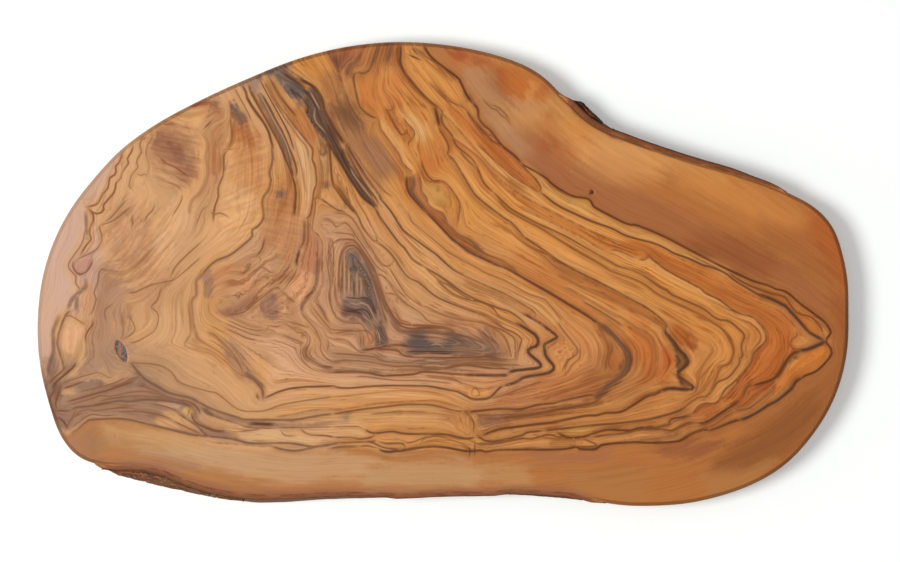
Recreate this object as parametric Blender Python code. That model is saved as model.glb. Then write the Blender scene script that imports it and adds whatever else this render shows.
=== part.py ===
"""A live-edge cutting board: one sawn and sanded slab of olive wood that keeps its natural edges.

The slab lies on its underside, with +Z up, its length along X and its rear edge towards +Y. The origin is at
the middle of the underside. Two stretches of the edge are the tree's own surface, sloping out towards the
underside and still carrying bark: a layer of smooth inner bark, and on it what is left of the rough outer bark.
A bark pocket and a dead pin knot sit in the working face as pieces of their own, each with its origin in the
middle of its upper side.
"""

import math

import bmesh
import bpy
from mathutils import Matrix, Vector

MM = 0.001

# The slab
LENGTH = 500 * MM
WIDTH = 286 * MM
THICKNESS = 20 * MM
TOP_ROUND = 2.0 * MM  # the arris round the working face, eased with sandpaper
FOOT_ROUND = 1.5 * MM  # the arris round the underside

# The bark
INNER_BARK = 2.4 * MM  # the smooth layer next to the wood
REAR_RIND = 1.0 * MM  # the thin dark skin left along the rear edge
BARK_FOOT = 1.5 * MM  # the bark stops this far above the underside
RIND_TOP = 11 * MM  # the height that the rear rind reaches
FLAKES_TOP = 18 * MM  # the height that the rough bark of the front edge reaches
STUB_FOOT = 6 * MM
STUB_TOP = 18 * MM
THINNEST_BARK = 0.6 * MM  # a layer ends where it would be thinner than this
WANE_POWER = 1.3  # how the natural edge curves from the underside up to the working face
MOST_OF_BAND = 0.7  # the bark takes no more than this share of the live edge seen from above
SEAT_GAP = 0.3 * MM  # between a piece and what it is seated on

# The pieces let into the working face, placed in the drawing's millimetres
POCKET_PLACE = (-198.3, -47.8)
POCKET_LENGTH = 15 * MM
POCKET_WIDTH = 5.6 * MM
POCKET_LEAN = math.radians(23)
POCKET_DEPTH = 7 * MM
POCKET_POINT = 0.4  # 0 gives the pocket round ends, and more gives it sharper ones
KNOT_PLACE = (91.6, 50)
KNOT_WIDTH = 2.4 * MM
KNOT_DEPTH = 9 * MM
KNOT_LEAN = math.radians(5)
KNOT_TAPER = 0.8
CUTTER_RISE = 1 * MM  # how far a seat's cutter stands out of the working face

# How finely round shapes are drawn
STATIONS = 260  # round the outline
STUB_FINENESS = 4  # the stub's sections lie this many times closer together
POCKET_SIDES = 24
KNOT_SIDES = 12
ROUND_STEPS = 2  # on each arris

# The drawing is the outline as seen from above, in millimetres, anticlockwise from the right-hand end
OUTLINE = (
    (250, -25), (249, 0), (246.8, 10), (239.7, 30), (230, 40.1), (215, 49), (200, 56.9), (180, 65.2),
    (160, 71), (140, 77.4), (120, 84.3), (105, 90.5), (95, 96.4), (85, 103.4), (75, 110), (66, 117.8),
    (58, 124), (50, 128.4), (40, 132.2), (20, 137.6), (0, 140.9), (-30, 142.5), (-60, 139.5), (-90, 132),
    (-120, 120.1), (-150, 106.4), (-180, 90), (-200, 75), (-214, 60), (-229.5, 40), (-240, 20),
    (-246.5, 0), (-249.7, -22), (-250, -42), (-248, -60), (-243, -80), (-236, -100), (-229.3, -109.6),
    (-220, -116.3), (-205, -124), (-185, -130), (-160, -135.7), (-140, -139.6), (-120, -142.3),
    (-100, -142.2), (-75, -140.5), (-50, -139.7), (-25, -138.8), (0, -137.6), (25, -137.2), (45, -137),
    (60, -137.9), (73, -139), (90, -140.9), (110, -143), (128, -143.3), (150, -141.8), (170, -137.5),
    (191, -130), (208.4, -120), (227.7, -100), (240, -80), (247, -60), (249.8, -42),
)

# The live edges, each read along X in millimetres. A band is the natural edge's width seen from above.
REAR_BAND = (
    (66, 0), (75, 2.6), (85, 5.5), (92, 7), (100, 6.7), (110, 5.5), (120, 4.6), (140, 4.9), (160, 4.1),
    (180, 2.9), (200, 2), (212, 1), (222, 0),
)
FRONT_BAND = (
    (-222, 0), (-214, 3), (-205, 7.8), (-195, 11), (-185, 13), (-175, 13), (-165, 10.8), (-155, 9),
    (-145, 8.1), (-125, 7.7), (-100, 7.4), (-80, 6.9), (-60, 7), (-40, 6), (-20, 3.4), (0, 3.8),
    (20, 2.7), (30, 2.5), (45, 3.7), (70, 4.4), (80, 3.6), (90, 1.9), (100, 1), (112, 0),
)

# The outer bark's thickness along X, in millimetres
REAR_RIND_RUN = ((100, 0), (108, 1), (190, 1), (204, 0))
REAR_STUB_RUN = ((80, 0), (81.5, 3.2), (84, 3.8), (87, 2.6), (93, 2), (98, 1.3), (102, 0))
FRONT_FLAKES_RUN = (
    (-214, 0), (-208, 1.6), (-200, 2.9), (-188, 3.5), (-176, 3.3), (-164, 2.6), (-150, 1.9), (-134, 1.5),
    (-116, 0),
)
FRONT_CRUST_RUN = ((30, 0), (42, 1), (58, 1.2), (74, 1.4), (84, 1), (92, 0))


def clear_scene():
    for obj in list(bpy.data.objects):
        bpy.data.objects.remove(obj, do_unlink=True)


def read_along(run, x):
    """The value of a run of (place, value) rows at x, which changes smoothly from row to row."""
    if x <= run[0][0]:
        return run[0][1]
    for (x0, value0), (x1, value1) in zip(run, run[1:]):
        if x <= x1:
            share = (x - x0) / (x1 - x0)
            return value0 + (value1 - value0) * share * share * (3 - 2 * share)
    return run[-1][1]


def smooth_loop(points, count):
    """count points evenly spaced along a smooth closed curve through the given points."""
    points = [Vector(point) for point in points]
    size = len(points)
    chords = [(points[(i + 1) % size] - points[i]).length for i in range(size)]

    def slope_at(i):
        before, after = chords[i - 1], chords[i]
        arriving = (points[i] - points[i - 1]) / before
        leaving = (points[(i + 1) % size] - points[i]) / after
        return (arriving * after + leaving * before) / (before + after)

    steps = 24
    fine = []
    for i in range(size):
        start, end, chord = points[i], points[(i + 1) % size], chords[i]
        slope0, slope1 = slope_at(i) * chord, slope_at((i + 1) % size) * chord
        for step in range(steps):
            t = step / steps
            fine.append(
                start * (2 * t**3 - 3 * t**2 + 1) + slope0 * (t**3 - 2 * t**2 + t)
                + end * (3 * t**2 - 2 * t**3) + slope1 * (t**3 - t**2)
            )
    fine.append(fine[0])
    run = [0.0]
    for a, b in zip(fine, fine[1:]):
        run.append(run[-1] + (b - a).length)
    even = []
    at = 0
    for i in range(count):
        target = run[-1] * i / count
        while run[at + 1] < target:
            at += 1
        share = (target - run[at]) / (run[at + 1] - run[at])
        even.append(fine[at].lerp(fine[at + 1], share))
    return even


class Station:
    """One place on the outline: where it is, which way is out, and what the edge is like there."""

    def __init__(self, drawn, place, outward):
        self.place = place
        self.outward = outward
        self.x = drawn.x
        self.rear = drawn.y > 0
        self.band = read_along(REAR_BAND if self.rear else FRONT_BAND, self.x) * MM
        self.inner_bark = min(INNER_BARK, MOST_OF_BAND * self.band)
        if self.rear:
            self.outer_bark = read_along(REAR_RIND_RUN, self.x) * REAR_RIND
        else:
            flakes = read_along(FRONT_FLAKES_RUN, self.x)
            self.outer_bark = max(flakes, read_along(FRONT_CRUST_RUN, self.x)) * MM
        self.bark = self.inner_bark + self.outer_bark
        self.wane = max(0.0, self.band - self.bark - TOP_ROUND)

    def skin(self, z):
        """How far the outer surface, bark and all, stands inside the outline at height z."""
        return self.wane * (z / THICKNESS) ** WANE_POWER

    def wood(self, z):
        """How far the wood stands inside the outline at height z."""
        return self.skin(z) + self.bark + eased(z)

    def point(self, inset, z):
        spot = self.place - self.outward * inset
        return Vector((spot.x, spot.y, z))


def eased(z):
    """How far an eased arris draws the wall in at height z."""
    for radius, away in ((TOP_ROUND, THICKNESS - z), (FOOT_ROUND, z)):
        if away < radius:
            return radius - math.sqrt(max(0.0, radius**2 - (radius - away) ** 2))
    return 0.0


def wall_levels():
    """The heights of the wall's rings, close together on the two eased arrises."""
    turns = [math.pi / 2 * i / ROUND_STEPS for i in range(ROUND_STEPS + 1)]
    foot = [FOOT_ROUND * (1 - math.cos(turn)) for turn in turns]
    top = [THICKNESS - TOP_ROUND * (1 - math.sin(turn)) for turn in turns]
    middle = [STUB_FOOT, RIND_TOP, (RIND_TOP + top[0]) / 2]
    return sorted(set(round(z, 9) for z in foot + middle + top))


def fit_to_size():
    """A function from a point of the drawing to its place on a board of this length and width."""
    drawn = smooth_loop(OUTLINE, STATIONS)
    low = Vector((min(p.x for p in drawn), min(p.y for p in drawn)))
    high = Vector((max(p.x for p in drawn), max(p.y for p in drawn)))
    centre, size = (low + high) / 2, high - low

    def place_of(point):
        offset = Vector(point) - centre
        return Vector((offset.x / size.x * LENGTH, offset.y / size.y * WIDTH))

    return place_of


def make_stations(place_of, count):
    drawn = smooth_loop(OUTLINE, count)
    places = [place_of(point) for point in drawn]
    stations = []
    for i, place in enumerate(places):
        along = places[(i + 1) % count] - places[i - 1]
        outward = Vector((along.y, -along.x)).normalized()
        stations.append(Station(drawn[i], place, outward))
    return stations


def make_material(name, colour, roughness):
    material = bpy.data.materials.new(name)
    material.use_nodes = True
    shader = material.node_tree.nodes["Principled BSDF"]
    shader.inputs["Base Color"].default_value = (*colour, 1)
    shader.inputs["Roughness"].default_value = roughness
    shader.inputs["Metallic"].default_value = 0
    material.diffuse_color = (*colour, 1)
    return material


def add_object(name, mesh_maker, material=None, place=(0, 0, 0)):
    """A new object from a function that fills a bmesh, shaded smooth but for its real corners."""
    shape = bmesh.new()
    mesh_maker(shape)
    bmesh.ops.recalc_face_normals(shape, faces=shape.faces)
    mesh = bpy.data.meshes.new(name)
    shape.to_mesh(mesh)
    shape.free()
    mesh.shade_smooth()
    mesh.set_sharp_from_angle(angle=math.radians(40))
    if material:
        mesh.materials.append(material)
    obj = bpy.data.objects.new(name, mesh)
    obj.location = place
    bpy.context.scene.collection.objects.link(obj)
    return obj


def add_loop(shape, points):
    """A closed ring of edges through the points."""
    verts = [shape.verts.new(point) for point in points]
    return [shape.edges.new((a, b)) for a, b in zip(verts, verts[1:] + verts[:1])]


def loft(shape, rings):
    """A closed skin over rings of equally many points, with a flat face at each end."""
    loops = [add_loop(shape, ring) for ring in rings]
    for a, b in zip(loops, loops[1:]):
        bmesh.ops.bridge_loops(shape, edges=a + b)
    for end in (loops[0], loops[-1]):
        bmesh.ops.edgeloop_fill(shape, edges=end)


def make_slab(stations, material):
    """The slab's wall is a stack of rings, each the outline drawn in by the wane, the bark and the arris."""

    def mesh(shape):
        loft(shape, [[s.point(s.wood(z), z) for s in stations] for z in wall_levels()])

    return add_object("slab", mesh, material)


def make_bark(name, run, foot, top, inner, outer, material):
    """A strip of bark on the wall, from section to section along the run of stations.

    inner and outer give how far each side stands inside the outline at a station and a height.
    """
    levels = [foot] + [z for z in wall_levels() if foot < z < top] + [top]

    def section(station):
        inside = [station.point(inner(station, z), z) for z in levels]
        outside = [station.point(outer(station, z), z) for z in reversed(levels)]
        return inside + outside

    return add_object(name, lambda shape: loft(shape, [section(s) for s in run]), material)


def run_where(stations, rear, thickness):
    """The stations of one edge, in order along it, where a layer is thick enough to be there."""
    run = [s for s in stations if s.rear == rear and thickness(s) > THINNEST_BARK]
    return sorted(run, key=lambda s: s.x)


def wood_face(station, z):
    return station.wood(z) - SEAT_GAP


def inner_bark_face(station, z):
    """The inner bark's outer side, which the arris of the wood doesn't reach."""
    return station.skin(z) + station.outer_bark


def outer_bark_seat(station, z):
    return inner_bark_face(station, z) - SEAT_GAP


def thinning(z, top):
    """The share of its thickness that rough bark keeps at height z: it wears away towards its top."""
    return 1 - 0.7 * max(0.0, z / top) ** 3


def make_layered_bark(stations, inner_material, outer_material):
    for edge, rear in (("rear", True), ("front", False)):
        run = run_where(stations, rear, lambda s: s.inner_bark)
        name = f"{edge}_inner_bark"
        make_bark(name, run, BARK_FOOT, THICKNESS, wood_face, inner_bark_face, inner_material)

    def skin(top):
        return lambda s, z: outer_bark_seat(s, z) - (s.outer_bark - SEAT_GAP) * thinning(z, top)

    rind = run_where(stations, True, lambda s: s.outer_bark)
    make_bark("rear_bark_rind", rind, BARK_FOOT, RIND_TOP, outer_bark_seat, skin(RIND_TOP), outer_material)
    outer = run_where(stations, False, lambda s: s.outer_bark)
    for name, run in (
        ("front_rough_bark", [s for s in outer if s.x < 0]),
        ("front_bark_crust", [s for s in outer if s.x > 0]),
    ):
        make_bark(name, run, BARK_FOOT, FLAKES_TOP, outer_bark_seat, skin(FLAKES_TOP), outer_material)


def make_bark_stub(stations, material):
    """A thick chip of outer bark that still stands out from the rear edge, on the inner bark."""

    def thickness(station):
        return read_along(REAR_STUB_RUN, station.x) * MM

    def outside(station, z):
        return outer_bark_seat(station, z) - thickness(station) * thinning(z, STUB_TOP)

    run = run_where(stations, True, thickness)
    make_bark("rear_bark_stub", run, STUB_FOOT, STUB_TOP, outer_bark_seat, outside, material)


def pocket_mesh(grow, bottom, top):
    """An almond outline, pointed at both ends, that draws in with the depth. z is 0 at the working face."""
    turn = Matrix.Rotation(POCKET_LEAN, 2)

    def ring(z, share):
        half_length = POCKET_LENGTH / 2 * share + grow
        half_width = POCKET_WIDTH / 2 * share + grow
        points = []
        for i in range(POCKET_SIDES):
            angle = 2 * math.pi * i / POCKET_SIDES
            bow = half_width * math.sin(angle) * abs(math.sin(angle)) ** POCKET_POINT
            spot = turn @ Vector((bow, half_length * math.cos(angle)))
            points.append((spot.x, spot.y, z))
        return points

    def mesh(shape):
        loft(shape, [ring(bottom, 0.6), ring(bottom / 2, 0.9), ring(top, 1.0)])

    return mesh


def knot_mesh(grow, bottom, top):
    """A thin leaning plug, narrower at its lower end. z is 0 at the working face."""

    def mesh(shape):
        made = bmesh.ops.create_cone(
            shape, cap_ends=True, segments=KNOT_SIDES, depth=top - bottom,
            radius1=KNOT_WIDTH / 2 * KNOT_TAPER + grow, radius2=KNOT_WIDTH / 2 + grow,
        )
        lift = Matrix.Translation((0, 0, (top + bottom) / 2))
        lean = Matrix.Shear("XY", 4, (math.tan(KNOT_LEAN), 0))
        bmesh.ops.transform(shape, matrix=lean @ lift, verts=made["verts"])

    return mesh


def let_in(slab, name, shape_maker, place, depth, material):
    """Cuts a seat in the working face and puts the piece in it, flush with the face."""
    spot = (place.x, place.y, THICKNESS)
    cutter_mesh = shape_maker(SEAT_GAP, -depth - SEAT_GAP, CUTTER_RISE)
    seat = add_object(f"{name}_seat", cutter_mesh, place=spot)
    seat.hide_render = True
    seat.display_type = "WIRE"
    cut = slab.modifiers.new(f"{name}_seat", "BOOLEAN")
    cut.operation = "DIFFERENCE"
    cut.solver = "EXACT"
    cut.object = seat
    return add_object(name, shape_maker(0, -depth, 0), material, spot)


def main():
    clear_scene()
    wood = make_material("olive_wood", (0.50, 0.25, 0.09), 0.45)
    inner_bark = make_material("inner_bark", (0.22, 0.09, 0.045), 0.7)
    outer_bark = make_material("outer_bark", (0.08, 0.055, 0.04), 0.9)
    dead_wood = make_material("dead_wood", (0.09, 0.05, 0.04), 0.6)
    place_of = fit_to_size()
    stations = make_stations(place_of, STATIONS)
    slab = make_slab(stations, wood)
    make_layered_bark(stations, inner_bark, outer_bark)
    make_bark_stub(make_stations(place_of, STATIONS * STUB_FINENESS), outer_bark)
    let_in(slab, "bark_pocket", pocket_mesh, place_of(POCKET_PLACE), POCKET_DEPTH, dead_wood)
    let_in(slab, "pin_knot", knot_mesh, place_of(KNOT_PLACE), KNOT_DEPTH, dead_wood)


main()
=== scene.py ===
"""The looks of a live-edge cutting board of olive wood, seen from straight above on a white table."""

import math

import bmesh
import bpy
import numpy as np
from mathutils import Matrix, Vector, noise
from mathutils.bvhtree import BVHTree
from mathutils.geometry import delaunay_2d_cdt


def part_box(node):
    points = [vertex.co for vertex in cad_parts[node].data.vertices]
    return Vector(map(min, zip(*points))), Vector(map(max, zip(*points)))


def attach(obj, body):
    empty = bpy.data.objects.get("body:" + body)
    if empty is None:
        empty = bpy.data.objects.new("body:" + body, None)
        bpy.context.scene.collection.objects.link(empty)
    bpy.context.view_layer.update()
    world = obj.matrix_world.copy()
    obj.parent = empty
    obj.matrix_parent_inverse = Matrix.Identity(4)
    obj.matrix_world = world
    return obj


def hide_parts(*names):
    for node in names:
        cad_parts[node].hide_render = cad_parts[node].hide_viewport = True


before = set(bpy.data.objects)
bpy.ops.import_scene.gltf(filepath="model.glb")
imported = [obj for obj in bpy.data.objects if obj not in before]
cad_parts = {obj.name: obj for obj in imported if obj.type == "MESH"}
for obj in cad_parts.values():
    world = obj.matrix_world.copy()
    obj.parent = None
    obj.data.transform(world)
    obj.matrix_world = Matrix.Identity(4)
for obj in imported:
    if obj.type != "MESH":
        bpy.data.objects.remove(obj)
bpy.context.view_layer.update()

# The photograph: the board lies flat on a white table, and a camera with a long lens looks straight down.
# The camera's height and lens follow from the length of the board in the picture.
PHOTO_SIZE = (900, 562)
OUTLINE_MIDDLE = (443, 274)  # the pixel above the middle of the board
LENGTH_IN_PIXELS = 812
CAMERA_HEIGHT = 2.0
SENSOR_WIDTH = 36.0

slab_low, slab_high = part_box("slab")
LENGTH = slab_high.x - slab_low.x
THICKNESS = slab_high.z
pixel = LENGTH / LENGTH_IN_PIXELS


def add_object(name, data):
    """A new object in the scene."""
    thing = bpy.data.objects.new(name, data)
    bpy.context.scene.collection.objects.link(thing)
    return thing


camera_data = bpy.data.cameras.new("camera")
camera_data.sensor_width = SENSOR_WIDTH
camera_data.lens = SENSOR_WIDTH * CAMERA_HEIGHT / (PHOTO_SIZE[0] * pixel)
camera = add_object("camera", camera_data)
camera.location = (
    (PHOTO_SIZE[0] / 2 - OUTLINE_MIDDLE[0]) * pixel,
    (OUTLINE_MIDDLE[1] - PHOTO_SIZE[1] / 2) * pixel,
    THICKNESS + CAMERA_HEIGHT,
)
bpy.context.scene.camera = camera
bpy.context.scene.view_settings.view_transform = "Standard"

# The table is a plain white floor in an even white room, with one broad lamp above it on the left. The camera
# sees the floor a little brighter than it is lit, which leaves the photograph's soft shadow.
FLOOR_HALF = 3.0
FLOOR_TONE = (0.875, 0.90, 0.875, 1)
FLOOR_LIFT = 0.20
WHITE = (1, 1, 1, 1)
ROOM_LIGHT = 0.44
LAMP_PLACE = (-1.67, -0.20, 2.30)
LAMP_SIZE = 1.15
LAMP_POWER = 58.0


def finish_mesh(shape, name):
    """The mesh of a shape that was built up from its corners and faces."""
    mesh = bpy.data.meshes.new(name)
    shape.to_mesh(mesh)
    shape.free()
    return mesh


def new_material(name):
    """A new material, and the tree that holds its shader nodes."""
    material = bpy.data.materials.new(name)
    material.use_nodes = True
    return material, material.node_tree


def add_node(tree, kind, *values, output=0, **settings):
    """A new shader node, its inputs set or linked in order. Gives its output socket."""
    node = tree.nodes.new("ShaderNode" + kind)
    for key, value in settings.items():
        setattr(node, key, value)
    for socket, value in zip(node.inputs, values):
        if isinstance(value, bpy.types.NodeSocket):
            tree.links.new(value, socket)
        elif value is not None:
            socket.default_value = value
    return node.outputs[output]


def add_maths(tree, operation, *values):
    return add_node(tree, "Math", *values, operation=operation)


floor_shape = bmesh.new()
bmesh.ops.create_grid(floor_shape, x_segments=1, y_segments=1, size=FLOOR_HALF)
floor = add_object("floor", finish_mesh(floor_shape, "floor"))

floor_material, tree = new_material("white_table")
tree.nodes.clear()
for_camera = add_node(tree, "LightPath", output="Is Camera Ray")
for_gloss = add_node(tree, "LightPath", output="Is Glossy Ray")
lift = add_maths(tree, "MULTIPLY", add_maths(tree, "MAXIMUM", for_camera, for_gloss), FLOOR_LIFT)
glow = add_node(tree, "Emission", WHITE, lift)
both = add_node(tree, "AddShader", add_node(tree, "BsdfDiffuse", FLOOR_TONE), glow)
tree.links.new(both, tree.nodes.new("ShaderNodeOutputMaterial").inputs["Surface"])
floor.data.materials.append(floor_material)

world = bpy.data.worlds.new("studio")
world.use_nodes = True
bpy.context.scene.world = world
tree = world.node_tree
tree.nodes.clear()
for_camera = add_node(tree, "LightPath", output="Is Camera Ray")
strength = add_maths(tree, "ADD", add_maths(tree, "MULTIPLY", for_camera, 1 - ROOM_LIGHT), ROOM_LIGHT)
room_white = add_node(tree, "Background", WHITE, strength)
tree.links.new(room_white, tree.nodes.new("ShaderNodeOutputWorld").inputs["Surface"])

lamp_data = bpy.data.lights.new("lamp", "AREA")
lamp_data.shape = "DISK"
lamp_data.size = LAMP_SIZE
lamp_data.energy = LAMP_POWER
lamp = add_object("lamp", lamp_data)
lamp.location = LAMP_PLACE
lamp.rotation_mode = "QUATERNION"
lamp.rotation_quaternion = (-lamp.location).to_track_quat("-Z", "Y")

# The slab is one piece of olive wood, sawn flat, sanded and oiled, with the tree's own surface on parts of
# its edge. Its figure was drawn over the photograph, in millimetres from the middle of the board:
# areas of plain colour, and growth lines over them.
MM = 0.001

# Each pen draws a kind of growth line: half its width, how much it covers, its tone, and how much it darkens
# the wood beside it
PENS = {
    "seam": (1.10, 0.94, (98, 50, 18), 0.50),
    "plum": (1.25, 0.90, (98, 54, 36), 0.45),
    "ink": (1.45, 0.94, (84, 54, 36), 0.50),
    "deep": (1.15, 0.92, (98, 54, 24), 0.45),
    "dark": (1.00, 0.88, (104, 62, 34), 0.40),
    "dusk": (1.15, 0.80, (116, 80, 58), 0.30),
    "ring": (0.90, 0.80, (118, 68, 34), 0.30),
    "band": (1.10, 0.75, (140, 78, 28), 0.25),
    "soft": (1.60, 0.50, (148, 86, 46), 0.0),
    "hair": (0.70, 0.68, (128, 80, 46), 0.20),
    "smoke": (1.90, 0.62, (104, 76, 60), 0.25),
    "ghost": (1.00, 0.45, (142, 86, 46), 0.0),
    "scar": (0.70, 0.85, (80, 50, 36), 0.15),
    "pale": (0.80, 0.60, (190, 150, 118), 0.0),
}

# The wood beside a line may be shaded as well: how far, how much at the line, and its tone
SHADES = {
    "shy": (4, 0.35, (150, 92, 58)),
    "umber": (4, 0.60, (136, 84, 48)),
    "dun": (6, 0.75, (130, 80, 46)),
    "dove": (4, 0.50, (150, 112, 90)),
    "brown": (6, 0.60, (160, 96, 50)),
    "tan": (5, 0.50, (178, 112, 58)),
    "rust": (6, 0.65, (176, 94, 42)),
    "cream": (6, 0.75, (220, 156, 92)),
    "milk": (6, 0.70, (222, 170, 122)),
}

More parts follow.
